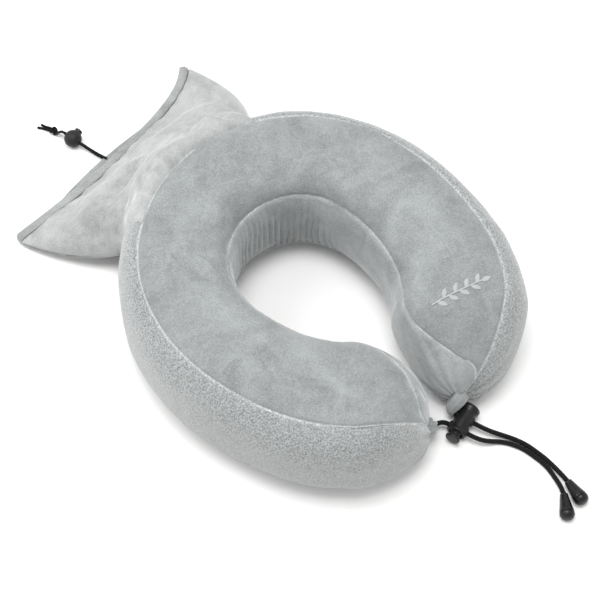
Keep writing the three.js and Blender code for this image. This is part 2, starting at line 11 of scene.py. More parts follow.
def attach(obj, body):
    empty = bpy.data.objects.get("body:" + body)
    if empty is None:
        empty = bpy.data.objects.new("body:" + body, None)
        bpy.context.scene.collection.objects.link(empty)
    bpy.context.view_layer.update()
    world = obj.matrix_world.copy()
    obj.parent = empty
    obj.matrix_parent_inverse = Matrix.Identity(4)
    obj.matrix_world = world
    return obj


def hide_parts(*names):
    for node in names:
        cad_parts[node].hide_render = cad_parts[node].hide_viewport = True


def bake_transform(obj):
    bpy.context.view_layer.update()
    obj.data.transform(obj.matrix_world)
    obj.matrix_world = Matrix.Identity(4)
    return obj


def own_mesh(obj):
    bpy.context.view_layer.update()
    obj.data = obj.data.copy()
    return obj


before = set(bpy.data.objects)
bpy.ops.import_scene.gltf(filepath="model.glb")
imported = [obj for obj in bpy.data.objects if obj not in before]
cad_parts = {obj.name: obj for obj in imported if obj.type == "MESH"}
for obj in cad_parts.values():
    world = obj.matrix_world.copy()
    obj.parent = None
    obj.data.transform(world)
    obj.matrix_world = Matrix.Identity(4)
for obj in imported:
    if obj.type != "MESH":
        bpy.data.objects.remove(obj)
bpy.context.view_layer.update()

# ---------------------------------------------------------------- camera
# A long lens looks down on the pillow from in front of its left arm, so that both
# arm ends, the lock and the pouch behind are in view.
camera_azimuth = math.radians(-45.3)
camera_elevation = math.radians(58.9)
camera_distance = 1.2
camera_target = Vector((-0.0105, -0.0433, 0.0406))
camera_back = Vector((
    math.sin(camera_azimuth) * math.cos(camera_elevation),
    -math.cos(camera_azimuth) * math.cos(camera_elevation),
    math.sin(camera_elevation),
))
camera = bpy.data.objects.new("camera", bpy.data.cameras.new("camera"))
camera.data.lens = 96.27
camera.data.sensor_width = 36
camera.location = camera_target + camera_distance * camera_back
camera.rotation_euler = (-camera_back).to_track_quat("-Z", "Y").to_euler()
bpy.context.scene.collection.objects.link(camera)
bpy.context.scene.camera = camera

# ---------------------------------------------------------------- front cords
# Two round cords plaited from black polyester yarn, 3.6 mm thick. Each is sewn into the end
# of an arm, runs through the barrel lock and lies loosely on the table up to its bell.


def smooth_line(points, steps):
    """Even points along a rounded curve through the given ones."""
    through = np.array(points, float)
    ends = [2 * through[0] - through[1], *through, 2 * through[-1] - through[-2]]
    ends = np.array(ends)
    knots = np.concatenate([[0], np.cumsum(np.linalg.norm(np.diff(ends, axis=0), axis=1) ** 0.5)])
    made = []
    for i in range(1, len(ends) - 2):
        t0, t1, t2, t3 = knots[i - 1 : i + 3]
        for t in np.linspace(t1, t2, 16, endpoint=i == len(ends) - 3):
            a1 = ((t1 - t) * ends[i - 1] + (t - t0) * ends[i]) / (t1 - t0)
            a2 = ((t2 - t) * ends[i] + (t - t1) * ends[i + 1]) / (t2 - t1)
            a3 = ((t3 - t) * ends[i + 1] + (t - t2) * ends[i + 2]) / (t3 - t2)
            b1 = ((t2 - t) * a1 + (t - t0) * a2) / (t2 - t0)
            b2 = ((t3 - t) * a2 + (t - t1) * a3) / (t3 - t1)
            made.append(((t2 - t) * b1 + (t - t1) * b2) / (t2 - t1))
    made = np.array(made)
    along = lengths_along(made)
    even = np.linspace(0, along[-1], steps)
    return np.stack([np.interp(even, along, made[:, k]) for k in range(3)], axis=1)


def lengths_along(line):
    """How far each point of a line is from its start."""
    return np.concatenate([[0], np.cumsum(np.linalg.norm(np.diff(line, axis=0), axis=1))])


def headings(line):
    """The unit direction of a line at each of its points."""
    forward = np.gradient(line, axis=0)
    return forward / np.linalg.norm(forward, axis=1)[:, None]


def round_angles(sides):
    return np.linspace(0, 2 * np.pi, sides, endpoint=False)


def grid_piece(name, grid, uv=None, round_way=False, closed_ends=False):
    """A mesh from rows of points. With round_way, each row is a closed ring."""
    rows, columns = grid.shape[:2]
    r, c = np.meshgrid(np.arange(rows - 1), np.arange(columns if round_way else columns - 1), indexing="ij")
    r, c = r.ravel(), c.ravel()
    next_c = (c + 1) % columns
    row, next_row = r * columns, (r + 1) * columns
    faces = np.stack([row + c, row + next_c, next_row + next_c, next_row + c], axis=1)
    faces = faces.tolist()
    if closed_ends:
        faces.append(list(range(columns))[::-1])
        faces.append([(rows - 1) * columns + k for k in range(columns)])
    mesh = bpy.data.meshes.new(name)
    mesh.from_pydata(grid.reshape(-1, 3).tolist(), [], faces)
    mesh.polygons.foreach_set("use_smooth", [True] * len(mesh.polygons))
    if uv is not None:
        layer = mesh.uv_layers.new(name="cloth")
        wide = uv.shape[1]
        first = r * wide + c
        corners = np.stack([first, first + 1, first + wide + 1, first + wide], axis=1)
        values = uv.reshape(-1, 2)[corners.ravel()]
        spare = len(mesh.loops) - len(values)
        values = np.concatenate([values, np.zeros((spare, 2))]) if spare else values
        layer.data.foreach_set("uv", values.ravel())
    piece = bpy.data.objects.new(name, mesh)
    bpy.context.scene.collection.objects.link(piece)
    return piece


def cord_piece(name, line, radius, sides=16):
    """A round cord along a line; its UV runs round it from 0 to 1 and along it in metres."""
    forward = headings(line)
    side = np.cross(forward[0], [0, 0, 1.0])
    if np.linalg.norm(side) < 0.1:
        side = np.cross(forward[0], [0, 1.0, 0])
    rings, turn = [], round_angles(sides)
    for point, ahead in zip(line, forward):
        side = side - ahead * side.dot(ahead)
        side /= np.linalg.norm(side)
        up = np.cross(side, ahead)
        rings.append(point + radius * (np.cos(turn)[:, None] * side + np.sin(turn)[:, None] * up))
    along = lengths_along(line)
    uv = np.stack(np.meshgrid(np.linspace(0, 1, sides + 1), along), axis=2)
    return grid_piece(name, np.array(rings), uv, round_way=True, closed_ends=True)


def add_node(tree, kind, inputs=None, **settings):
    """A shader node whose inputs are given as values or as the sockets to link from."""
    made = tree.nodes.new("ShaderNode" + kind)
    for key, value in settings.items():
        setattr(made, key, value)
    for key, value in (inputs or {}).items():
        if isinstance(value, bpy.types.NodeSocket):
            tree.links.new(value, made.inputs[key])
        else:
            made.inputs[key].default_value = value
    return made


def math_value(tree, operation, *values):
    return add_node(tree, "Math", dict(enumerate(values)), operation=operation).outputs[0]


def color_between(tree, share, low, high):
    return add_node(tree, "Mix", {0: share, 6: low, 7: high}, data_type="RGBA").outputs[2]


def ranged(tree, value, low, high, to_low, to_high):
    """The value, brought from one range to another."""
    return add_node(tree, "MapRange", {0: value, 1: low, 2: high, 3: to_low, 4: to_high}).outputs[0]


def noise_value(tree, place, scale, detail, roughness=0.5, distortion=0.0):
    return add_node(tree, "TexNoise", {
        "Vector": place, "Scale": scale, "Detail": detail, "Roughness": roughness, "Distortion": distortion,
    }).outputs[0]


def feed(node, **sources):
    """Links sources to a node's inputs, which are named with _ for a space."""
    for key, source in sources.items():
        node.id_data.links.new(source, node.inputs[key.replace("_", " ")])


def raise_surface(shader, height, strength, distance):
    """Bumps a shader's normal by a height."""
    values = {"Height": height, "Strength": strength, "Distance": distance}
    feed(shader, Normal=add_node(shader.id_data, "Bump", values).outputs[0])


def new_group(name, inputs, outputs):
    """A shader node group with named sockets; returns it with its input and output nodes."""
    group = bpy.data.node_groups.new(name, "ShaderNodeTree")
    for label, value in inputs.items():
        kind = "NodeSocketFloat" if isinstance(value, float) else "NodeSocketColor"
        group.interface.new_socket(name=label, in_out="INPUT", socket_type=kind).default_value = value
    for label in outputs:
        kind = "NodeSocketColor" if label == "Color" else "NodeSocketFloat"
        group.interface.new_socket(name=label, in_out="OUTPUT", socket_type=kind)
    return group, group.nodes.new("NodeGroupInput"), group.nodes.new("NodeGroupOutput")


def new_material(name, **values):
    """A material with a Principled shader, whose plain values are set by name."""
    material = bpy.data.materials.new(name)
    material.use_nodes = True
    shader = material.node_tree.nodes["Principled BSDF"]
    for key, value in values.items():
        shader.inputs[key.replace("_", " ")].default_value = value
    return material, material.node_tree, shader


def dress(piece, material):
    piece.data.materials.clear()
    piece.data.materials.append(material)
    return piece


def settle(piece, body, slot, *nodes):
    """Puts a piece on its body, in place of its CAD nodes."""
    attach(piece, body)
    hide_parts(*nodes)


# The plait is two sets of yarns that cross: each set is a wave running round and along.
plait, plait_in, plait_out = new_group("Plaited yarn", {
    "Yarn shaded in grooves": (0.002, 0.002, 0.0022, 1), "Yarn lit on crossings": (0.014, 0.014, 0.015, 1), "Yarns round": 8.0,
    "Yarns per metre": 420.0,
}, ["Color", "Height"])
plait_uv = add_node(plait, "UVMap", uv_map="cloth").outputs[0]
plait_parts = add_node(plait, "SeparateXYZ", {0: plait_uv})
yarn_round = math_value(plait, "MULTIPLY", plait_parts.outputs[0], plait_in.outputs["Yarns round"])
yarn_along = math_value(plait, "MULTIPLY", plait_parts.outputs[1], plait_in.outputs["Yarns per metre"])
yarn_waves = []
for direction in ("ADD", "SUBTRACT"):
    phase = math_value(plait, direction, yarn_round, yarn_along)
    wave = math_value(plait, "SINE", math_value(plait, "MULTIPLY", phase, math.pi))
    yarn_waves.append(math_value(plait, "ABSOLUTE", wave))
crossing = math_value(plait, "MULTIPLY", *yarn_waves)
# Painted shade: the yarn is darker in the grooves of the plait and paler on its raised crossings.
yarn_painted_shade = color_between(plait, crossing, plait_in.outputs["Yarn shaded in grooves"], plait_in.outputs["Yarn lit on crossings"])
feed(plait_out, Color=yarn_painted_shade, Height=crossing)


def plaited_material(name, roughness, relief, yarn_values=None):
    """Plaited black yarn, whose plait stands up by the relief."""
    material, tree, shader = new_material(
        name, Roughness=roughness, Sheen_Weight=0.04, Sheen_Roughness=0.5, Specular_IOR_Level=0.2
    )
    yarn = add_node(tree, "Group", yarn_values, node_tree=plait)
    feed(shader, Base_Color=yarn.outputs["Color"])
    raise_surface(shader, yarn.outputs["Height"], 0.9, relief)
    return material


cord_material = plaited_material("plaited_black_cord", 0.82, 0.0006)
cord_radius = 0.0018
barrel_axis = Vector((math.cos(math.radians(14)), math.sin(math.radians(14)), 0))
cord_axis = Vector((barrel_axis.y, -barrel_axis.x, 0))
lock_head = Vector((-0.0032, -0.1926, 0.0078))


def on_lock(along, across=0.0):
    """A point of the lock's own middle plane, along its barrel and along the cords."""
    return tuple(lock_head + along * barrel_axis + across * cord_axis)


right_cord_route = [
    on_lock(0.0202, -0.0084), on_lock(0.0202, -0.003), on_lock(0.0202, 0.0052), on_lock(0.0202, 0.0132),
    (0.0224, -0.2070, 0.0063), (0.0262, -0.2130, 0.0040), (0.0299, -0.2190, 0.0023),
    (0.0328, -0.2261, 0.0021), (0.0348, -0.2341, 0.0021), (0.0356, -0.2426, 0.0021),
    (0.0359, -0.2501, 0.0021), (0.0355, -0.2576, 0.0021), (0.0345, -0.2656, 0.0025), (0.0332, -0.2729, 0.0031),
]
left_cord_route = [
    (-0.0030, -0.1760, 0.0078), (0.0004, -0.1768, 0.0078), (0.0034, -0.1793, 0.0078),
    on_lock(0.0102, -0.0072), on_lock(0.0102, -0.003), on_lock(0.0102, 0.0052), on_lock(0.0102, 0.0132),
    (0.0127, -0.2082, 0.0066), (0.0172, -0.2126, 0.0043), (0.0223, -0.2169, 0.0024),
    (0.0262, -0.2223, 0.0021), (0.0289, -0.2283, 0.0021), (0.0308, -0.2351, 0.0021), (0.0316, -0.2426, 0.0021),
    (0.0319, -0.2501, 0.0021), (0.0312, -0.2576, 0.0021), (0.0293, -0.2646, 0.0021),
    (0.0270, -0.2712, 0.0025), (0.0237, -0.2775, 0.0031),
]
cord_lines = {"right": smooth_line(right_cord_route, 110), "left": smooth_line(left_cord_route, 130)}
front_cords = {}
for side, line in cord_lines.items():
    front_cords[side] = dress(cord_piece("front_cord_" + side + "_plaited", line, cord_radius), cord_material)
    settle(front_cords[side], "pillow", "black_cord", "front_cord_" + side)

# ---------------------------------------------------------------- cord bells
# The cord ends are black acetal bells: a tapered body that the cord is threaded through and
# knotted in, with a domed cap snapped into its wide end.


def turned_grid(profile, place, sides=48):
    """Rings of a turned shape from pairs of radius and place along its axis."""
    turn = round_angles(sides)
    rings = [[place @ Vector((r * math.cos(a), r * math.sin(a), z)) for a in turn] for r, z in profile]
    return np.array(rings)


def turned_piece(name, profile, place, sides=48):
    return grid_piece(name, turned_grid(profile, place, sides), round_way=True)


def rounded_profile(corners, radius=0.0004, steps=4):
    """The corners of a turned outline, each inner one rounded off."""
    made = [corners[0]]
    for before, at, after in zip(corners, corners[1:], corners[2:]):
        a, b, c = Vector(before), Vector(at), Vector(after)
        into = min(radius, (a - b).length / 2.2)
        out_of = min(radius, (c - b).length / 2.2)
        start, finish = b + (a - b).normalized() * into, b + (c - b).normalized() * out_of
        for t in np.linspace(0, 1, steps):
            made.append(tuple((1 - t) ** 2 * start + 2 * t * (1 - t) * b + t * t * finish))
    return [*made, corners[-1]]


# Moulded plastic: a faint spark-eroded grain, and dust and wear that change its gloss.
moulded, moulded_in, moulded_out = new_group("Moulded grain", {
    "Plastic": (0.004, 0.004, 0.0044, 1), "Dust": (0.02, 0.02, 0.021, 1), "Gloss": 0.38, "Grain size": 5200.0,
}, ["Color", "Roughness", "Height"])
moulded_place = add_node(moulded, "TexCoord").outputs["Object"]
grain = noise_value(moulded, moulded_place, moulded_in.outputs["Grain size"], 2.0)
smudge = noise_value(moulded, moulded_place, 260.0, 4.0, 0.6)
dusted = ranged(moulded, smudge, 0.42, 0.8, 0.0, 0.55)
dust_mix = color_between(moulded, dusted, moulded_in.outputs["Plastic"], moulded_in.outputs["Dust"])
duller = math_value(moulded, "MULTIPLY_ADD", dusted, 0.35, moulded_in.outputs["Gloss"])
feed(moulded_out, Color=dust_mix, Roughness=duller, Height=grain)


def moulded_material(name, gloss, grain_size=5200.0, plastic=(0.004, 0.004, 0.0044, 1)):
    material, tree, shader = new_material(name, Specular_IOR_Level=0.35)
    skin = add_node(tree, "Group", {"Gloss": gloss, "Grain size": grain_size, "Plastic": plastic}, node_tree=moulded)
    feed(shader, Base_Color=skin.outputs["Color"], Roughness=skin.outputs["Roughness"])
    raise_surface(shader, skin.outputs["Height"], 0.25, 0.0001)
    return material


bell_material = moulded_material("black_bell_plastic", 0.3)
for side, turn in (("right", -107), ("left", -133)):
    heading, tilt = math.radians(turn), math.asin((0.0055 - 0.0031) / 0.016)
    ahead = Vector((math.cos(heading) * math.cos(tilt), math.sin(heading) * math.cos(tilt), math.sin(tilt)))
    sideways = Vector((-math.sin(heading), math.cos(heading), 0))
    place = Matrix((sideways, ahead.cross(sideways), ahead)).transposed().to_4x4()
    start = Vector(cord_lines[side][-1]) + 0.0009 * ahead
    place.translation = (start.x, start.y, 0.00335)
    body_outline = [(0, 0), (0.0023, 0), (0.0029, 0.0004), (0.0031, 0.0012), (0.0030, 0.0017), (0.0032, 0.0024),
                    (0.0046, 0.0108), (0.0053, 0.0142), (0.0054, 0.016), (0.0050, 0.01605), (0.0032, 0.016),
                    (0.0032, 0.0124), (0, 0.0123)]
    cap_outline = [(0, 0.0125), (0.0029, 0.0125), (0.0029, 0.0163), (0.0054, 0.0164), (0.0056, 0.0170),
                   (0.0053, 0.0182), (0.0045, 0.0197), (0.0030, 0.0208), (0.0013, 0.0212), (0, 0.02125)]
    for part, outline in (("body", body_outline), ("cap", cap_outline)):
        name = "bell_" + part + "_" + side
        piece = dress(turned_piece(name + "_moulded", rounded_profile(outline), place), bell_material)
        settle(piece, "pillow", "lock_plastic", name)

# ---------------------------------------------------------------- barrel lock
# A two-hole barrel lock moulded in black acetal. A sprung plunger with a dimpled head slides
# in the barrel, and its slots pinch both cords against the rims of the barrel's holes.
lock_place = Matrix((cord_axis, Vector((0, 0, -1)), barrel_axis)).transposed().to_4x4()
lock_place.translation = lock_head
cord_places = (0.0102, 0.0202)


def apply_modifiers(piece):
    bpy.context.view_layer.update()
    piece.data = bpy.data.meshes.new_from_object(piece.evaluated_get(bpy.context.evaluated_depsgraph_get()))
    piece.modifiers.clear()


def cut_away(piece, *tools):
    """Takes the tools out of the piece and removes them."""
    for tool in tools:
        cutter = piece.modifiers.new("cut", "BOOLEAN")
        cutter.object = tool
        cutter.operation = "DIFFERENCE"
        cutter.solver = "EXACT"
    apply_modifiers(piece)
    for tool in tools:
        bpy.data.objects.remove(tool)
    return piece


def crisp_edges(piece, angle=35):
    """Smooth shading that keeps the edges sharper than the angle."""
    piece.data.polygons.foreach_set("use_smooth", [True] * len(piece.data.polygons))
    piece.data.set_sharp_from_angle(angle=math.radians(angle))
    return piece


def hole_tool(place, radius, start, end, shift=0.0, sides=28):
    """A rod across a turned part, along its local x, to be cut away."""
    turn = round_angles(sides)
    rings = [
        [place @ Vector((x, radius * math.cos(a), shift + radius * math.sin(a))) for a in turn]
        for x in (start, end)
    ]
    return grid_piece("hole_tool", np.array(rings), round_way=True, closed_ends=True)


def slot_tool(place, radius, start, end, low, high, sides=14):
    """A rod with a long section, from low to high along the barrel."""
    turn = np.linspace(0, np.pi, sides)
    outline = [(radius * math.cos(a), high + radius * math.sin(a)) for a in turn]
    outline += [(-radius * math.cos(a), low - radius * math.sin(a)) for a in turn]
    rings = [[place @ Vector((x, y, z)) for y, z in outline] for x in (start, end)]
    return grid_piece("slot_tool", np.array(rings), round_way=True, closed_ends=True)


def joined(name, *parts):
    """One piece from several meshes."""
    vertices, faces = [], []
    for part in parts:
        shift = len(vertices)
        vertices += [v.co.copy() for v in part.data.vertices]
        faces += [[shift + i for i in f.vertices] for f in part.data.polygons]
        bpy.data.objects.remove(part)
    mesh = bpy.data.meshes.new(name)
    mesh.from_pydata(vertices, [], faces)
    piece = bpy.data.objects.new(name, mesh)
    bpy.context.scene.collection.objects.link(piece)
    return piece


barrel_outline = [
    (0.0053, 0.0285), (0.0053, 0.0063), (0.0058, 0.0060), (0.0069, 0.0060), (0.0073, 0.0065), (0.0073, 0.0077),
    (0.0066, 0.0083), (0.0065, 0.0095), (0.0066, 0.0205), (0.0067, 0.0255), (0.0074, 0.0272), (0.0077, 0.0285),
    (0.0077, 0.0298), (0.0071, 0.0305), (0.0045, 0.0306), (0, 0.0306),
]
barrel = turned_piece("barrel", rounded_profile([(0, 0.0285), *barrel_outline], 0.0005), lock_place, 56)
barrel = cut_away(barrel, *[hole_tool(lock_place, 0.0022, -0.02, 0.02, s) for s in cord_places])
rims = []
for s in cord_places:
    for face in (-1, 1):
        around = Matrix((Vector((0, 0, -1)), barrel_axis, face * cord_axis)).transposed().to_4x4()
        around.translation = Vector(on_lock(s, face * 0.0054))
        outline = [
            (0.0022, 0), (0.0022, 0.0018), (0.0025, 0.0021), (0.0031, 0.0021), (0.0036, 0.0016), (0.0039, 0),
            (0.0022, 0),
        ]
        rims.append(turned_piece("rim", outline, around, 32))
lock_body = crisp_edges(joined("barrel_lock_body", barrel, *rims))
plunger_outline = [
    (0, 0), (0.0049, 0.0001), (0.0055, 0.0006), (0.0056, 0.0012), (0.0056, 0.0021), (0.0050, 0.0027), (0.0036, 0.0029),
    (0.0035, 0.0050), (0.0040, 0.0056), (0.0049, 0.0058), (0.0049, 0.0232), (0, 0.0232),
]
plunger = turned_piece("barrel_lock_plunger", rounded_profile(plunger_outline), lock_place, 56)
cord_slots = [slot_tool(lock_place, 0.0022, -0.02, 0.02, s - 0.003, s) for s in cord_places]
plunger = crisp_edges(cut_away(plunger, *cord_slots))
dress(lock_body, moulded_material("black_lock_plastic", 0.34))

# The head's face is dimpled so that a thumb grips it; each dimple's hollow is painted darker as shade.
head_material, tree, shader = new_material("black_dimpled_plastic", Specular_IOR_Level=0.35)
skin = add_node(tree, "Group", {"Gloss": 0.4, "Plastic": (0.005, 0.005, 0.0054, 1)}, node_tree=moulded)
head_place = add_node(tree, "TexCoord").outputs["Object"]
dimples = add_node(tree, "TexVoronoi", {"Vector": head_place, "Scale": 900.0, "Randomness": 0.15}).outputs["Distance"]
dimple_painted_shade = color_between(tree, dimples, skin.outputs["Color"], (0.02, 0.02, 0.021, 1))
feed(shader, Base_Color=dimple_painted_shade, Roughness=skin.outputs["Roughness"])
raise_surface(shader, dimples, 0.5, 0.0003)
dress(plunger, head_material)
settle(lock_body, "front_lock", "lock_plastic", "cord_lock_body")
settle(plunger, "front_plunger", "lock_plastic", "cord_lock_plunger")

# Wire, thread, nylon and plating vary in fine streaks between a dark and a pale end.
streaks, streaks_in, streaks_out = new_group("Streaked finish", {
    "Dark": (0.3, 0.3, 0.3, 1), "Pale": (0.6, 0.6, 0.6, 1), "Scale": 700.0, "Detail": 3.0, "Breakup": 0.5,
    "Distortion": 0.0, "Least roughness": 0.3, "Most roughness": 0.5,
}, ["Color", "Roughness"])
streak_values = [streaks_in.outputs[key] for key in ("Scale", "Detail", "Breakup", "Distortion")]
streak = noise_value(streaks, add_node(streaks, "TexCoord").outputs["Object"], *streak_values)
gloss_ends = [streaks_in.outputs[key] for key in ("Least roughness", "Most roughness")]
feed(
    streaks_out,
    Color=color_between(streaks, streak, streaks_in.outputs["Dark"], streaks_in.outputs["Pale"]),
    Roughness=ranged(streaks, streak, 0.0, 1.0, *gloss_ends),
)


def streaked_material(name, dark, pale, streak_values, roughness=None, **values):
    """A material in streaks; roughness is its two ends, or left out where the gloss is even."""
    material, tree, shader = new_material(name, **values)
    low, high = roughness or (0.3, 0.3)
    skin = add_node(tree, "Group", {
        "Dark": (*dark, 1), "Pale": (*pale, 1), "Least roughness": low, "Most roughness": high, **streak_values,
    }, node_tree=streaks)
    feed(shader, Base_Color=skin.outputs["Color"])
    if roughness:
        feed(shader, Roughness=skin.outputs["Roughness"])
    return material


spring_material = streaked_material(
    "spring_wire", (0.30, 0.30, 0.31), (0.62, 0.62, 0.63), {"Scale": 1400.0}, Metallic=1.0, Roughness=0.3
)


def coil_spring(node, body, place, radius, wire, low, high, turns):
    """A spring seated in its body at the end named low."""
    turn = np.linspace(0, 2 * np.pi * turns, 24 * turns + 1)
    line = [
        place @ Vector((radius * math.cos(a), radius * math.sin(a), low + (high - low) * a / turn[-1])) for a in turn
    ]
    spring = dress(cord_piece(node + "_wound", np.array(line), wire, 10), spring_material)
    settle(spring, body, "spring_steel", node)
    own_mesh(spring)


coil_spring(
    "cord_lock_spring", "front_lock", lock_place,
    radius=0.0034, wire=0.00045, low=0.0280, high=0.0238, turns=3,
)

# ---------------------------------------------------------------- velour cover
# The cover is sewn from four pieces of short-pile velour: a wall outside, a wall inside, a top
# and a bottom. Each is stretched over the foam, so it bulges a little between its seams, and
# the seam allowances are turned in.
pillow_centre_y = -0.0466
tip_length = 0.054
outer_seam = math.radians(60)
inner_seam = math.radians(151)


def spine_line():
    """The pillow's centre line in plan, from the left arm's end round to the right one's."""
    bend = np.radians(np.linspace(0, 148, 181))
    radius = 0.102 - 0.004 * np.cos(bend) + 0.008 * np.cos(2 * bend) - 0.0025 * np.cos(3 * bend)
    arc = np.stack([radius * np.sin(bend), radius * np.cos(bend)], axis=1)
    nose = np.array([0.018, -0.1295])
    heading = (arc[-1] - arc[-2]) / np.linalg.norm(arc[-1] - arc[-2])
    corner = arc[-1] + heading * np.linalg.norm(nose - arc[-1]) / 2
    t = np.linspace(0, 1, 61)[1:, None]
    run = (1 - t) ** 2 * arc[-1] + 2 * t * (1 - t) * corner + t**2 * nose
    half = np.vstack([arc, run])
    both = np.vstack([half[:0:-1] * [-1, 1], half])
    both[:, 0] += 0.005 * np.clip(-both[:, 1] / 0.14, 0, 1)
    return both


spine = spine_line()
spine_along = lengths_along(spine)
spine_length = spine_along[-1]


def spine_at(u):
    return np.stack([np.interp(u * spine_length, spine_along, spine[:, k]) for k in range(2)], axis=-1)


def tip_share(u):
    """0 on the full section, rising to 1 at an arm's end."""
    return np.clip(1 - np.minimum(u, 1 - u) * spine_length / tip_length, 0, 1)


def inner_seam_at(u):
    """The inner seam runs across to the outer one at each arm's end."""
    q = np.clip(tip_share(u) / 0.965, 0, 1) ** 3
    return inner_seam * (1 - q) + outer_seam * q


def signed_power(v, power):
    return np.sign(v) * np.abs(v) ** power


def pillow_surface(u, angle, depth=0.0):
    """Points of the cover at places along the spine (0 to 1) and angles round the section."""
    here = spine_at(u)
    along = spine_at(np.minimum(u + 0.004, 1)) - spine_at(np.maximum(u - 0.004, 0))
    along /= np.linalg.norm(along, axis=-1)[..., None]
    out = np.stack([-along[..., 1], along[..., 0]], axis=-1)
    f = np.arctan2(np.abs(here[..., 0]), here[..., 1])
    full = 0.045 - 0.004 * np.cos(f) + 0.001 * np.cos(2 * f)
    tall = 0.0945 + 0.005 * np.cos(f)
    t = tip_share(u)
    wide, high = np.sqrt(1 - t**1.25), np.sqrt(1 - t**1.85)
    half = 0.006 + (full - 0.006) * wide - depth
    top = 0.0275 + (tall - 0.0275) * high
    bottom = 0.0135 + (-0.001 - 0.0135) * high
    reach = half * signed_power(np.cos(angle), 2 / 3)
    z = (top + bottom) / 2 + ((top - bottom) / 2 - depth) * signed_power(np.sin(angle), 2 / 3)
    z = np.maximum(z, depth + 0.0002)
    place = here + out * reach[..., None]
    return np.stack([place[..., 0], place[..., 1] + pillow_centre_y, z], axis=-1)


def grid_normals(grid):
    """Unit normals of a grid of points, from its own slopes."""
    down, across = np.gradient(grid, axis=0), np.gradient(grid, axis=1)
    normal = np.cross(across, down)
    return normal / np.maximum(np.linalg.norm(normal, axis=-1), 1e-12)[..., None]


def soft_noise(points, size, seed=0.0):
    """Smooth noise from -1 to 1 at points, with bumps of about that size."""
    flat = points.reshape(-1, points.shape[-1]) / size + seed
    if flat.shape[1] == 2:
        flat = np.column_stack([flat, np.full(len(flat), seed)])
    return np.array([noise.noise(p) for p in flat.tolist()]).reshape(points.shape[:-1])


def crease(points, start, end, width, lift):
    """A fold along a line: lift above the cloth, or into it where it is negative."""
    a, b = np.array(start), np.array(end)
    t = np.clip(((points - a) @ (b - a)) / ((b - a) @ (b - a)), 0, 1)
    away = np.linalg.norm(points - (a + t[..., None] * (b - a)), axis=-1)
    fade = np.sin(np.pi * np.clip(0.15 + 0.7 * t, 0, 1))
    return lift * fade * np.exp(-((away / width) ** 2))


# Shallow puckers that run in from the seams, each as its two ends, width and height.
top_creases = [
    ((0.058, -0.010, 0.095), (0.088, -0.018, 0.095), 0.0035, 0.0020),
    ((0.057, -0.024, 0.095), (0.090, -0.036, 0.095), 0.0040, 0.0022),
    ((0.061, -0.041, 0.095), (0.084, -0.049, 0.095), 0.0030, 0.0016),
    ((-0.062, -0.138, 0.093), (-0.076, -0.150, 0.088), 0.0028, 0.0020),
    ((-0.069, -0.130, 0.094), (-0.084, -0.140, 0.089), 0.0025, 0.0016),
    ((-0.016, -0.160, 0.085), (-0.030, -0.172, 0.078), 0.0030, 0.0018),
    ((0.052, -0.066, 0.095), (0.070, -0.078, 0.095), 0.0030, 0.0014),
]


def panel_grid(name, edges, rows, columns, seed):
    """The points and UV of one panel of the cover, bulged between its seams."""
    u = np.linspace(0, 1, rows)
    u = u - 0.35 * np.sin(2 * np.pi * u) / (2 * np.pi)
    low, high = edges(u)
    share = np.linspace(0, 1, columns)
    share = 0.5 - 0.5 * np.cos(np.pi * share) * (0.55 + 0.45 * np.abs(np.cos(np.pi * share)))
    angle = low[:, None] + (high - low)[:, None] * share
    u_all = np.repeat(u[:, None], columns, axis=1)
    base = pillow_surface(u_all, angle)
    out = grid_normals(base)
    centre = pillow_surface(u_all, angle, 0.004)
    out *= np.sign(np.sum(out * (base - centre), axis=-1))[..., None]
    girth = np.cumsum(np.linalg.norm(np.diff(base, axis=1), axis=-1), axis=1)
    girth = np.concatenate([np.zeros((rows, 1)), girth], axis=1)
    from_low, from_high = girth, girth[:, -1:] - girth
    from_seam = np.minimum(from_low, from_high)
    along = np.repeat((u * spine_length)[:, None], columns, axis=1)
    tip = tip_share(u_all)
    f = np.arctan2(base[..., 0], base[..., 1] - pillow_centre_y)
    cloth = np.stack([along, girth], axis=-1)
    bulge = 0.0010 * (1 - np.exp(-from_seam / 0.007)) - 0.0013 * np.exp(-((from_seam / 0.0017) ** 2))
    bulge += 0.0005 * soft_noise(cloth, 0.0075, seed) * np.exp(-from_seam / 0.008)
    bulge += 0.0014 * soft_noise(base, 0.048, seed) + 0.0005 * soft_noise(base, 0.016, seed + 7)
    if name == "inner_wall":
        # Spare cloth on the tight inner bend gathers into upright pleats above the bottom seam.
        sway = 0.0048 * soft_noise(cloth, 0.026, seed + 3)
        ridge = np.abs(np.sin(np.pi * (along + sway) / 0.0094)) ** 0.7
        low_down = np.clip(1.15 - base[..., 2] / 0.068, 0, 1) ** 0.8
        at_the_bend = np.exp(-((f / 1.15) ** 4))
        uneven = np.clip(0.8 + 1.5 * soft_noise(cloth, 0.03, seed + 5), 0.1, 1.5)
        bulge += 0.0046 * (ridge - 0.75) * low_down * at_the_bend * uneven
    if name == "outer_wall":
        # The zip's stiff tape holds the wall flat.
        held_flat = np.exp(-(((np.degrees(angle) + 22) / 9) ** 4)) * np.clip((0.75 - np.abs(f)) / 0.05, 0, 1)
        bulge *= 1 - held_flat
    if name == "top_panel":
        for start, end, width, lift in top_creases:
            bulge += crease(base, start, end, width, lift)
    gathers = np.sin(angle * 13 + 2.5 * soft_noise(cloth, 0.03, seed + 9)) * np.clip(tip - 0.25, 0, 1) ** 1.2
    bulge += 0.0011 * gathers * np.clip(from_seam / 0.004, 0, 1)
    bulge *= np.clip((base[..., 2] - 0.0002) / 0.004, 0.0, 1)
    return base, out, bulge, np.stack([along, from_seam], axis=-1)


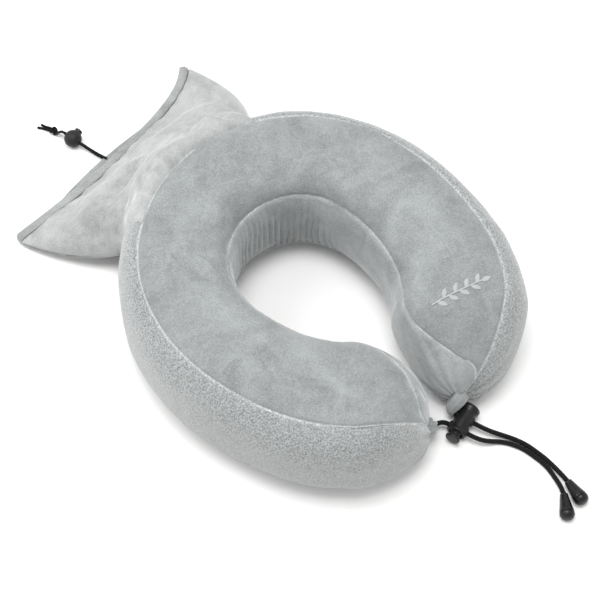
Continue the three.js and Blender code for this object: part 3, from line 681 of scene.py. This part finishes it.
def turned_in(grid, out, uv, allowance=0.0032):
    """Adds the seam allowances: rows of cloth that go in at both seams."""
    before, after = [], []
    for k, depth in enumerate((0.0009, allowance)):
        before.insert(0, grid[:, :1] - out[:, :1] * depth)
        after.append(grid[:, -1:] - out[:, -1:] * depth)
    made = np.concatenate([*before, grid, *after], axis=1)
    edge = uv[:, :1] * [1, 0]
    last = uv[:, -1:] * [1, 0]
    return made, np.concatenate([edge, edge, uv, last, last], axis=1)


full_turn = 2 * math.pi
panel_edges = {
    "outer_wall": lambda u: (np.full_like(u, -outer_seam), np.full_like(u, outer_seam)),
    "top_panel": lambda u: (np.full_like(u, outer_seam), inner_seam_at(u)),
    "inner_wall": lambda u: (inner_seam_at(u), full_turn - inner_seam_at(u)),
    "bottom_panel": lambda u: (full_turn - inner_seam_at(u), np.full_like(u, full_turn - outer_seam)),
}

# The nap is short and brushed every way, so it shows soft light and dark patches and fine specks
# where tufts stand up. The pale edge along each seam is painted sheen, where the pile catches the light.
nap, nap_in, nap_out = new_group("Brushed nap", {
    "Cloth": (0.40, 0.43, 0.44, 1), "Brushed dark": (0.30, 0.33, 0.34, 1),
    "Brushed pale": (0.55, 0.58, 0.59, 1), "Patch size": 22.0, "Speck strength": 0.25, "Seam sheen": 0.6,
}, ["Color", "Height", "Roughness"])
nap_place = add_node(nap, "TexCoord").outputs["Object"]
nap_uv = add_node(nap, "UVMap", uv_map="cloth").outputs[0]
uv_parts = add_node(nap, "SeparateXYZ", {0: nap_uv})
patches = noise_value(nap, nap_place, nap_in.outputs["Patch size"], 5.0, 0.62, 0.7)
strokes = noise_value(nap, nap_place, 75.0, 4.0, 0.65, 1.2)
specks = noise_value(nap, nap_place, 860.0, 2.5, 0.7)
pile = noise_value(nap, nap_place, 2600.0, 2.0)
patch_tone = math_value(nap, "MULTIPLY_ADD", strokes, 0.45, patches)
tone = ranged(nap, patch_tone, 0.55, 0.90, 0.0, 1.0)
dark_to_cloth = color_between(nap, tone, nap_in.outputs["Brushed dark"], nap_in.outputs["Brushed pale"])
softened = color_between(nap, 0.7, nap_in.outputs["Cloth"], dark_to_cloth)
speck_level = ranged(nap, specks, 0.38, 0.62, 0.0, 1.0)
speck_color = color_between(nap, speck_level, nap_in.outputs["Brushed dark"], nap_in.outputs["Brushed pale"])
specked = color_between(nap, nap_in.outputs["Speck strength"], softened, speck_color)
# Painted sheen: near each seam the cloth is mixed towards a near-white, as light caught by the pile.
seam_near = ranged(nap, uv_parts.outputs[1], 0.0002, 0.0014, 1.0, 0.0)
seam_broken = ranged(nap, specks, 0.35, 0.6, 0.25, 1.0)
seam_share = math_value(nap, "MULTIPLY", seam_near, seam_broken)
seam_sheen_level = math_value(nap, "MULTIPLY", seam_share, nap_in.outputs["Seam sheen"])
with_seam_sheen = color_between(nap, seam_sheen_level, specked, (0.78, 0.80, 0.81, 1))
feed(nap_out, Color=with_seam_sheen)
tuft_height = math_value(nap, "MULTIPLY_ADD", specks, 0.7, pile)
tuft_and_stroke = math_value(nap, "MULTIPLY_ADD", strokes, 1.1, tuft_height)
feed(nap_out, Height=tuft_and_stroke)
nap_rough = ranged(nap, tone, 0.0, 1.0, 0.95, 0.78)
feed(nap_out, Roughness=nap_rough)


def velour(name, cloth, specks=0.25, seam=0.6, sheen=0.75, bump=0.35, patch=22.0):
    """Velour in a shade, with its own share of specks and of painted sheen along its seams."""
    material, tree, shader = new_material(
        name, Sheen_Weight=sheen, Sheen_Roughness=0.38, Sheen_Tint=(0.98, 0.99, 1.0, 1), Specular_IOR_Level=0.15
    )
    dark = tuple(0.62 * c for c in cloth) + (1,)
    pale = tuple(min(1, 1.44 * c) for c in cloth) + (1,)
    skin = add_node(tree, "Group", {
        "Cloth": (*cloth, 1), "Brushed dark": dark, "Brushed pale": pale,
        "Patch size": patch, "Speck strength": specks, "Seam sheen": seam,
    }, node_tree=nap)
    feed(shader, Base_Color=skin.outputs["Color"], Roughness=skin.outputs["Roughness"])
    raise_surface(shader, skin.outputs["Height"], bump, 0.0006)
    return material


# The four panels are the same velour; their shades are painted light: the inner wall is made paler against the hole's
# shade, and the lit top is darkest.
panel_velour = {
    "outer_wall": velour("velour_outer_wall", (0.291, 0.302, 0.302), specks=0.95, seam=0.5, bump=0.7),
    "top_panel": velour("velour_top", (0.255, 0.268, 0.271), specks=0.35, seam=0.7),
    "inner_wall": velour("velour_inner_wall", (0.302, 0.316, 0.318), specks=0.3, seam=0.5),
    "bottom_panel": velour("velour_bottom", (0.272, 0.284, 0.286), specks=0.4, seam=0.4),
}
panel_grids = {}
for name, columns, seed in (
    ("outer_wall", 72, 1.3), ("top_panel", 64, 4.1), ("inner_wall", 60, 8.7), ("bottom_panel", 48, 12.2),
):
    base, out, bulge, uv = panel_grid(name, panel_edges[name], 460, columns, seed)
    panel_grids[name] = base + out * bulge[..., None]
    grid, grid_uv = turned_in(panel_grids[name], out, uv)
    panel = dress(grid_piece("cover_" + name + "_velour", grid, grid_uv), panel_velour[name])
    settle(panel, "pillow", "cover_velour" if "panel" in name else "wall_velour", "cover_" + name)

# ---------------------------------------------------------------- stitched sprig
# A small sprig is embroidered on the right arm in pale polyester thread. Each leaf is filled
# with satin stitches side by side, and the stem is a row of laid thread.
top_panel = bpy.data.objects["cover_top_panel_velour"].data
top_shape = BVHTree.FromPolygons([v.co for v in top_panel.vertices], [f.vertices for f in top_panel.polygons])
sprig_start = Vector((0.0335, -0.1325))
sprig_heading = Vector((0.945, -0.327))
thread_radius = 0.00028


def on_top_panel(place, above):
    hit, normal, _, _ = top_shape.ray_cast(Vector((*place, 0.2)), Vector((0, 0, -1)))
    return np.array(hit) + above * np.sign(normal.z) * np.array(normal)


def satin_leaf(start, heading, length, half_width):
    """The stitches of one leaf, laid slanting across it and raised in the middle."""
    across = Vector((-heading.y, heading.x))
    stitches = []
    for t in np.linspace(0.05, 0.95, 15):
        middle = start + heading * (length * t)
        half = half_width * math.sin(math.pi * t) ** 0.8
        laid = [
            on_top_panel(middle + (across + 0.35 * heading) * (half * a), 0.0001 + 0.0006 * (1 - a * a))
            for a in np.linspace(-1, 1, 9)
        ]
        stitches.append(cord_piece("stitch", laid, thread_radius, 6))
    return stitches


stem = [on_top_panel(sprig_start + sprig_heading * d, 0.0003) for d in np.linspace(0, 0.040, 30)]
sprig_parts = [cord_piece("stem", stem, 0.0005, 8)]
for k in range(8):
    leaf_heading = sprig_heading.copy()
    leaf_heading.rotate(Matrix.Rotation(math.radians(48 if k % 2 else -48), 2))
    sprig_parts += satin_leaf(sprig_start + sprig_heading * (0.004 + 0.0045 * k), leaf_heading, 0.0078, 0.0017)
sprig_parts += satin_leaf(sprig_start + sprig_heading * 0.0395, sprig_heading, 0.008, 0.0018)
sprig = crisp_edges(joined("embroidered_sprig", *sprig_parts), 80)
thread = streaked_material(
    "pale_embroidery_thread", (0.34, 0.355, 0.355), (0.52, 0.535, 0.535), {"Scale": 1800.0, "Detail": 2.0},
    roughness=(0.35, 0.6), Sheen_Weight=0.3, Sheen_Roughness=0.3, Specular_IOR_Level=0.5,
)
dress(sprig, thread)
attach(sprig, "pillow")

# ---------------------------------------------------------------- foam core
# One moulded piece of pale memory foam fills the cover; its open cells show as fine pores.
foam_material, tree, shader = new_material("cream_memory_foam", Roughness=0.95, Subsurface_Weight=0.1)
foam_place = add_node(tree, "TexCoord").outputs["Object"]
pores = add_node(tree, "TexVoronoi", {"Vector": foam_place, "Scale": 1200.0}).outputs["Distance"]
# Painted shade: the foam is darker in the hollow of each pore.
foam_with_shaded_pores = color_between(tree, pores, (0.62, 0.58, 0.47, 1), (0.83, 0.80, 0.70, 1))
feed(shader, Base_Color=foam_with_shaded_pores)
raise_surface(shader, pores, 0.4, 0.0004)
dress(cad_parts["foam_core"], foam_material)

# ---------------------------------------------------------------- arm-end tabs
# Each arm's cover is drawn together into a short gathered tab of the same velour, and its
# cord is sewn into the tab's end.


def gathered_tab(name, side, finish, finish_heading, seed):
    """A tab lofted from an arm's end to where its cord comes out, with gathers along it."""
    u = 0.0 if side == "left" else 1.0
    nose = np.append(spine_at(np.array(u)), 0.0) + [0, pillow_centre_y, 0.0205]
    behind = np.append(spine_at(np.array(abs(u - 0.01))), 0.0) + [0, pillow_centre_y, 0.0205]
    leave = (nose - behind) / np.linalg.norm(nose - behind)
    finish, arrive = np.array(finish), np.array(finish_heading)
    reach = np.linalg.norm(finish - nose)
    steps = np.linspace(0, 1, 22)
    points = []
    for t in steps:
        a, b = nose - 0.0028 * leave, finish
        c, d = a + leave * reach * 0.55, b - arrive * reach * 0.45
        points.append((1 - t) ** 3 * a + 3 * (1 - t) ** 2 * t * c + 3 * (1 - t) * t * t * d + t**3 * b)
    points = np.array(points)
    forward = headings(points)
    turn = round_angles(72)
    rings = []
    for t, point, ahead in zip(steps, points, forward):
        sideways = np.cross([0, 0, 1.0], ahead)
        sideways /= np.linalg.norm(sideways)
        up = np.cross(ahead, sideways)
        wide = 0.0072 + (0.0030 - 0.0072) * t**0.8
        tall = 0.0082 + (0.0034 - 0.0082) * t**0.8
        deep = math.sin(math.pi * min(1, 0.25 + t))
        folds = 1 + 0.10 * np.sin(7 * turn + seed + 0.8 * t) * deep + 0.04 * np.sin(12 * turn + seed * 2)
        ring = point + wide * (folds * np.cos(turn))[:, None] * sideways
        ring = ring + tall * (folds * np.sin(turn))[:, None] * up
        ring[:, 2] = np.maximum(ring[:, 2], 0.0006)
        rings.append(ring)
    last = points[-1]
    rings.append(last + 0.55 * (rings[-1] - last) - 0.0006 * forward[-1])
    grid = np.array(rings)
    uv = np.stack(np.meshgrid(np.linspace(0, 0.05, 73), np.linspace(0.004, 0.02, len(rings))), axis=2)
    piece = dress(grid_piece(name, grid, uv, round_way=True, closed_ends=True), tab_velour)
    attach(piece, "pillow")
    return piece


tab_velour = velour("velour_tab", (0.262, 0.273, 0.274), specks=0.3, seam=0.0)
right_tab = gathered_tab("arm_tab_right_gathered", "right", Vector(right_cord_route[0]), cord_axis, 0.6)
left_tab_end = Vector(left_cord_route[0]) + Vector((-0.0004, 0, 0))
left_tab = gathered_tab("arm_tab_left_gathered", "left", left_tab_end, (1, -0.1, 0), 2.1)
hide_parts("cord_tab_right")
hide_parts("cord_tab_left")

# ---------------------------------------------------------------- storage pouch
# The pouch is a flat bag of the same velour, cut wider at its mouth. Its upper sheet is sewn
# into the pillow's top outer seam and its lower sheet to the wall below; both lie down behind
# the pillow, and the mouth is turned over into a hem for the drawcord.
sheet_thickness = 0.0016


def bag_point(u, v, upper):
    """A point of the pouch: u from -1 to 1 across it, v from the pillow to the mouth."""
    lip_y = 0.207 + 0.004 * u + 0.009 * u**2 + 0.0142 * np.maximum(0, u) ** 6
    if upper:
        lip_z, start, sag = 0.0195 + 0.010 * u, 0.074, 1 - v
    else:
        lip_y = lip_y + (0.222 + 0.006 * u - 0.014 * u**2 - lip_y) * (1 - u**4)
        lip_z, start, sag = 0.0037 + 0.018 * np.maximum(0, u) ** 3, 0.069, (1 - v) ** 3
    left = 0.028 + (0.006 - 0.028) * v**0.5
    right = 0.042 + (0.024 - 0.042) * v
    side_z = np.where(u < 0, left, right)
    opened = (1 - np.abs(u) ** 5) ** 0.6
    z = side_z + (lip_z + (start - lip_z) * sag - side_z) * opened
    x = 0.066 * u + (-0.0115 + 0.1015 * u - 0.066 * u) * v**0.8
    x = x + 0.013 * np.maximum(0, u) ** 4 * np.sin(np.pi * v**0.75)
    x = x - 0.004 * np.maximum(0, -u) ** 6 * np.sin(np.pi * v)
    start_y = 0.1505 - 0.015 * u * u
    y = start_y + (lip_y - start_y) * v
    lift = 0.00125 if upper else -0.00125
    return np.stack([x, y + pillow_centre_y, z + lift], axis=-1)


spine_plan_angle = np.arctan2(spine[:, 0], spine[:, 1])


def sewn_row(u, angle, depth):
    """A row along the pillow's wall where the pouch is sewn on."""
    f = np.radians(-3.0 + 28.0 * u)
    middle = np.abs(spine_plan_angle) < 2.0
    place = np.interp(f, spine_plan_angle[middle], spine_along[middle]) / spine_length
    sunk = np.abs(u) ** 10 * (0.0012 - depth)
    return pillow_surface(place, np.full_like(u, math.radians(angle)), depth + sunk)


def sheet_through(rows, steps):
    """A smooth sheet through rows of points."""
    columns = [smooth_line([row[k] for row in rows], steps) for k in range(len(rows[0]))]
    return np.stack(columns, axis=1)


u_across = np.sin(np.pi / 2 * np.linspace(-1, 1, 121))
upper_rows = [
    sewn_row(u_across, 60, 0.0032), sewn_row(u_across, 55, -0.0022), sewn_row(u_across, 47, -0.0058),
    (sewn_row(u_across, 34, -0.0066) + bag_point(u_across, 0.0, True)) / 2,
    *[bag_point(u_across, v, True) for v in (0.06, 0.16, 0.3, 0.46, 0.62, 0.8, 0.98)],
]
lower_rows = [
    sewn_row(u_across, 24, -0.0010),
    *[bag_point(u_across, v, False) for v in (0.03, 0.1, 0.2, 0.33, 0.48, 0.64, 0.8, 0.98)],
]


# The larger folds of the upper sheet, each as its two ends, width and height.
pouch_creases = [
    ((-0.097, 0.142, 0.016), (-0.060, 0.104, 0.060), 0.007, 0.0052),
    ((-0.085, 0.128, 0.030), (0.000, 0.132, 0.045), 0.007, 0.0034),
    ((-0.060, 0.150, 0.030), (0.010, 0.112, 0.066), 0.009, 0.0034),
    ((0.000, 0.150, 0.040), (0.070, 0.128, 0.052), 0.008, 0.0036),
    ((-0.050, 0.118, 0.055), (0.020, 0.122, 0.058), 0.004, -0.0024),
    ((0.012, 0.100, 0.078), (0.046, 0.118, 0.062), 0.006, 0.0030),
    ((-0.004, 0.093, 0.088), (-0.030, 0.101, 0.078), 0.004, 0.0030),
]


def pouch_folds(grid, upper):
    """How far each point of a pouch sheet stands out of its smooth shape."""
    rows, columns = grid.shape[:2]
    down = np.repeat(np.linspace(0, 1, rows)[:, None], columns, axis=1)
    u = np.repeat(u_across[None, :], rows, axis=0)
    along = np.stack([grid[..., 0] + 0.35 * grid[..., 1], 0.3 * grid[..., 1]], axis=-1)
    rise = 0.0024 * soft_noise(grid, 0.034, 3.1) + 0.0016 * soft_noise(along, 0.011, 6.4)
    hem_near = np.clip((down - 0.80) / 0.18, 0, 1)
    rise += 0.0002 * hem_near * np.sin(grid[..., 0] * 620 + 3 * soft_noise(grid, 0.03, 2.0))
    if upper:
        # Spare cloth stands up in tucks just outside the seam that holds it.
        near_seam = np.exp(-(((down - 0.17) / 0.11) ** 2))
        tucks = 0.5 + 0.5 * np.sin(grid[..., 0] * 210 + 5.0 * soft_noise(grid, 0.045, 9.0) + 22 * down)
        rise += 0.0060 * near_seam * tucks**2.0
        for start, end, width, lift in pouch_creases:
            rise += crease(grid, start, end, width, lift)
    between_sheets = np.clip((1 - np.abs(u)) / 0.3, 0, 1) * (1.0 if upper else 0.45)
    return rise * np.clip(down / 0.06, 0, 1) * between_sheets


# The pouch's velour is set paler than the pillow's: partly a lighter nap, and partly painted light for the way it
# faces the key lamp.
pouch_velour = velour("velour_pouch", (0.345, 0.355, 0.350), specks=0.25, seam=0.0, sheen=0.7, patch=26.0)
for name, rows, upper in (("upper", upper_rows, True), ("lower", lower_rows, False)):
    grid = sheet_through(rows, 96)
    out = grid_normals(grid)
    out *= 1 if out[48, 60, 2] > 0 else -1
    grid = grid + out * pouch_folds(grid, upper)[..., None]
    grid[..., 2] = np.maximum(grid[..., 2], 0.0009)
    down = np.linspace(0, 0.12, 96)
    uv = np.stack(np.meshgrid(np.linspace(0, 0.2, 121), down + 0.004), axis=2)
    piece = dress(grid_piece("pouch_sheet_" + name, grid, uv), pouch_velour)
    thicken = piece.modifiers.new("cloth thickness", "SOLIDIFY")
    thicken.thickness = sheet_thickness
    thicken.offset = 0
    apply_modifiers(piece)
    piece.data.polygons.foreach_set("use_smooth", [True] * len(piece.data.polygons))
    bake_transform(piece)
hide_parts("pouch_upper_panel", "pouch_seam_strip")
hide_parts("pouch_lower_panel")

# ---------------------------------------------------------------- pouch hem and its drawcord
# The mouth's edge is folded over once and stitched down, which leaves a soft channel. A 2 mm
# black cord runs round inside it.
around = round_angles(260)
mouth_u = -np.cos(around)
upper_lip, lower_lip = (bag_point(0.985 * mouth_u, 1.0, upper) for upper in (True, False))
mouth_line = np.where((np.sin(around) > 0)[:, None], upper_lip, lower_lip)


def swept_loop(line, outline, wander=0.0):
    """A closed tube along a loop; the outline is given outwards (+Y) and upwards."""
    ahead = np.roll(line, -1, axis=0) - np.roll(line, 1, axis=0)
    ahead /= np.linalg.norm(ahead, axis=1)[:, None]
    outward = np.array([0, 1.0, 0]) - ahead * ahead[:, 1:2]
    outward /= np.linalg.norm(outward, axis=1)[:, None]
    upward = np.cross(ahead, outward)
    puff = 1 + wander * soft_noise(line, 0.012, 5.0) if wander else np.ones(len(line))
    rings = [
        p + np.outer(outline[:, 0], o) + k * np.outer(outline[:, 1], n)
        for p, o, n, k in zip(line, outward, upward, puff)
    ]
    rings.append(rings[0])
    return np.array(rings)


turn = round_angles(20)
hem_outline = np.stack([
    0.0033 + 0.0037 * signed_power(np.cos(turn), 0.75), 0.0019 * signed_power(np.sin(turn), 0.8),
], axis=1)
hem_grid = swept_loop(mouth_line, hem_outline, 0.35)
hem_grid[..., 2] = np.maximum(hem_grid[..., 2], 0.0004)
hem_uv = np.stack(np.meshgrid(np.linspace(0, 0.02, 21), np.linspace(0.004, 0.45, len(hem_grid))), axis=2)
hem = grid_piece("pouch_hem_folded", hem_grid, hem_uv, round_way=True)
dress(hem, velour("velour_hem", (0.285, 0.295, 0.293), specks=0.3, seam=0.0))
settle(hem, "pouch", "pouch_velour", "pouch_hem_upper", "pouch_hem_lower")

# ---------------------------------------------------------------- pouch drawcord and ball lock
# The drawcord's two ends leave the hem, pass through a sprung ball lock of matt grey-black
# plastic and are tied in one overhand knot.
strand_axis = Vector((-0.204751, 0.963287, 0.173648))
button_axis = Vector((0.964279, 0.168054, 0.204753))
strand_side = button_axis.cross(strand_axis).normalized()
ball_centre = Vector((-0.0174, 0.2124, 0.0074))
ball_place = Matrix((strand_axis, strand_side, button_axis)).transposed().to_4x4()
ball_place.translation = ball_centre
knot_centre = Vector((-0.0216, 0.2320, 0.0034))
drawcord_yarn = {"Yarns round": 6.0, "Yarns per metre": 700.0}
drawcord_material = plaited_material("plaited_drawcord", 0.85, 0.0004, drawcord_yarn)
channel_line = mouth_line + [0, 0.0038, 0]
channel_line = np.vstack([channel_line, channel_line[:1]])
channel_cord = dress(cord_piece("drawcord_in_channel", channel_line, 0.0009, 8), drawcord_material)
settle(channel_cord, "pouch", "black_cord", "drawcord_in_hem")


def strand_point(ahead, across):
    return ball_centre + ahead * strand_axis + across * strand_side


turn = np.linspace(0, 2 * np.pi, 90)
loops = np.stack([
    np.sin(turn) + 2 * np.sin(2 * turn), np.cos(turn) - 2 * np.cos(2 * turn), -np.sin(3 * turn),
], axis=1)
knot_line = np.array(knot_centre) + loops * [0.00098, 0.00100, 0.0011]
knot_parts = [cord_piece("knot", knot_line, 0.00105, 10)]
for lean in (-0.0013, 0.0013):
    tail = [
        knot_centre, (-0.0226 + lean, 0.2369, 0.0024), (-0.0242 + lean, 0.2419, 0.0013),
        (-0.0260 + 1.6 * lean, 0.2459, 0.0013),
    ]
    knot_parts.append(cord_piece("tail", smooth_line(tail, 20), 0.001, 10))
knot = crisp_edges(joined("drawcord_overhand_knot", *knot_parts), 80)
dress(knot, drawcord_material)
settle(knot, "pouch", "black_cord", "drawcord_knot")
for name, o in (("left", -0.0014), ("right", 0.0014)):
    route = [
        strand_point(-0.0345, 1.6 * o) + Vector((0, 0, 0.0024)),
        strand_point(-0.0308, 1.6 * o) + Vector((0, 0, 0.0016)),
        strand_point(-0.0235, 1.5 * o) + Vector((0, 0, 0.0002)),
        strand_point(-0.0175, 1.3 * o), strand_point(-0.012, o), strand_point(-0.005, o),
        strand_point(0.002, o), strand_point(0.008, o),
        ball_centre + 0.012 * strand_axis + Vector((-0.75 * o, 0, -0.0013 + 0.55 * o)),
        knot_centre + Vector((0.0008 - 0.95 * o, -0.0042, 0.0004)),
    ]
    line = smooth_line(route, 40)
    strand = dress(cord_piece("drawcord_strand_" + name, line, 0.001, 12), drawcord_material)
    settle(strand, "pouch", "black_cord", "pouch_strand_" + name)

turn = np.linspace(-np.pi / 2, np.pi / 2, 40)
ball_outline = [(0.0072 * math.cos(a), 0.0072 * math.sin(a)) for a in turn]
ball = turned_piece("ball_lock_body_moulded", [(max(r, 0), z) for r, z in ball_outline], ball_place, 56)
bore_place = ball_place @ Matrix.Rotation(math.radians(-90), 4, "Y")
button_bore = hole_tool(bore_place, 0.00365, -0.0055, 0.02)
ball = crisp_edges(cut_away(ball, *[
    hole_tool(ball_place @ Matrix.Translation((0, o, 0)), 0.00135, -0.02, 0.02) for o in (-0.0014, 0.0014)
], button_bore), 50)
dress(ball, moulded_material("matt_ball_plastic", 0.55, 3600.0, (0.012, 0.012, 0.0125, 1)))
button_outline = [
    (0, -0.0026), (0.0033, -0.0026), (0.0033, 0.0080), (0.0032, 0.0086), (0.0026, 0.0091), (0.0012, 0.0092),
    (0, 0.0092),
]
button = turned_piece("ball_lock_button_moulded", rounded_profile(button_outline), ball_place, 44)
spring_seat = hole_tool(bore_place, 0.0026, -0.01, -0.0017)
button = crisp_edges(cut_away(button, hole_tool(ball_place, 0.0028, -0.02, 0.02, 0.00125), spring_seat), 50)
dress(button, moulded_material("matt_button_plastic", 0.5, 3600.0, (0.02, 0.02, 0.021, 1)))
settle(ball, "ball_lock", "ball_plastic", "ball_lock_body")
settle(button, "ball_button", "ball_plastic", "ball_lock_button")

coil_spring(
    "ball_lock_spring", "ball_lock", ball_place,
    radius=0.0022, wire=0.0003, low=-0.0052, high=-0.0030, turns=2,
)

# ---------------------------------------------------------------- zip
# A nylon coil zip low on the wall lets the foam out for washing. Its woven tapes are sewn in
# flat, the coil is one bent filament, and the slider and its pull are die-cast and plated.
zip_angle = -22.0
zip_turns = 128
zip_plan = np.radians(np.linspace(-38.5, 36.5, 120))
behind = np.abs(spine_plan_angle) < 2.0
zip_places = np.interp(zip_plan, spine_plan_angle[behind], spine_along[behind]) / spine_length
tape_grid = np.stack([
    pillow_surface(zip_places, np.full(120, math.radians(zip_angle + shift)), -0.0007)
    for shift in (-6, -4, -2, 0, 2, 4, 6)
], axis=1)
tape_along = lengths_along(tape_grid[:, 3])
tape_across = lengths_along(tape_grid[60])
tape = grid_piece("zip_tape_woven", tape_grid, np.stack(np.meshgrid(tape_across, tape_along), axis=2))
tape_body = tape.modifiers.new("tape thickness", "SOLIDIFY")
tape_body.thickness = 0.0007
tape_body.offset = 0
tape_material, tree, shader = new_material("woven_zip_tape", Roughness=0.9, Sheen_Weight=0.2)
tape_uv = add_node(tree, "UVMap", uv_map="cloth").outputs[0]
weave = {"Vector": tape_uv, "Scale": 420.0, "Distortion": 0.6}
ribs = add_node(tree, "TexWave", weave, bands_direction="DIAGONAL").outputs[1]
# Painted shade: the tape is darker in the grooves between its ribs.
ribs_with_painted_shade = color_between(tree, ribs, (0.22, 0.23, 0.235, 1), (0.33, 0.345, 0.35, 1))
feed(shader, Base_Color=ribs_with_painted_shade)
raise_surface(shader, ribs, 0.6, 0.0002)
dress(tape, tape_material)

coil_line = pillow_surface(zip_places, np.full(120, math.radians(zip_angle)), -0.0023)
coil_line = smooth_line(coil_line, zip_turns * 10)
coil_ahead = headings(coil_line)
coil_out = np.cross(coil_ahead, [0, 0, 1.0])
coil_turn = np.linspace(0, 2 * np.pi * zip_turns, len(coil_line))[:, None]
filament = coil_line + 0.0006 * np.cos(coil_turn) * coil_out
filament = filament + 0.0016 * np.sin(coil_turn) * np.cross(coil_out, coil_ahead)
coil = cord_piece("zip_coil_filament", filament, 0.0003, 6)
nylon = streaked_material(
    "grey_nylon_filament", (0.24, 0.25, 0.255), (0.38, 0.395, 0.40), {"Scale": 700.0},
    roughness=(0.3, 0.55), Specular_IOR_Level=0.5, Coat_Weight=0.1,
)
dress(coil, nylon)
for piece, node in ((tape, "zip_tape"), (coil, "zip_coil")):
    settle(piece, "pillow", "zip_cloth", node)

plated = streaked_material(
    "nickel_plated_zinc", (0.42, 0.42, 0.43), (0.66, 0.66, 0.67),
    {"Scale": 480.0, "Detail": 5.0, "Breakup": 0.7, "Distortion": 1.5}, roughness=(0.22, 0.48), Metallic=1.0,
)
for node in ("zip_slider", "zip_pull"):
    dress(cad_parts[node], plated)
    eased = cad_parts[node].modifiers.new("cast edges", "BEVEL")
    eased.width = 0.00025
    eased.segments = 3

# ---------------------------------------------------------------- table and light
# The pillow lies on a plain white table under two large soft lamps, one overhead and one
# behind it to its left, with white walls all round that fill the shadows.
floor = bpy.data.objects.new("table_top", bpy.data.meshes.new("table_top"))
floor.data.from_pydata([(-6, -6, 0), (6, -6, 0), (6, 6, 0), (-6, 6, 0)], [], [(0, 1, 2, 3)])
bpy.context.scene.collection.objects.link(floor)
floor_material, tree, shader = new_material("white_table", Roughness=0.6)
shader.inputs["Base Color"].default_value = (0.925, 0.925, 0.915, 1)
dress(floor, floor_material)
world = bpy.data.worlds.new("studio")
world.use_nodes = True
world.node_tree.nodes["Background"].inputs[0].default_value = (1, 1, 1, 1)
world.node_tree.nodes["Background"].inputs[1].default_value = 0.85
bpy.context.scene.world = world
bpy.context.scene.view_settings.view_transform = "Standard"
for name, place, size, power in (("key", (-0.6, 0.9, 1.3), 0.8, 9), ("overhead", (-0.1, -0.1, 1.6), 0.7, 15)):
    light = bpy.data.objects.new(name, bpy.data.lights.new(name, "AREA"))
    light.data.size = size
    light.data.energy = power
    light.location = place
    light.rotation_euler = (-Vector(place)).to_track_quat("-Z", "Y").to_euler()
    bpy.context.scene.collection.objects.link(light)
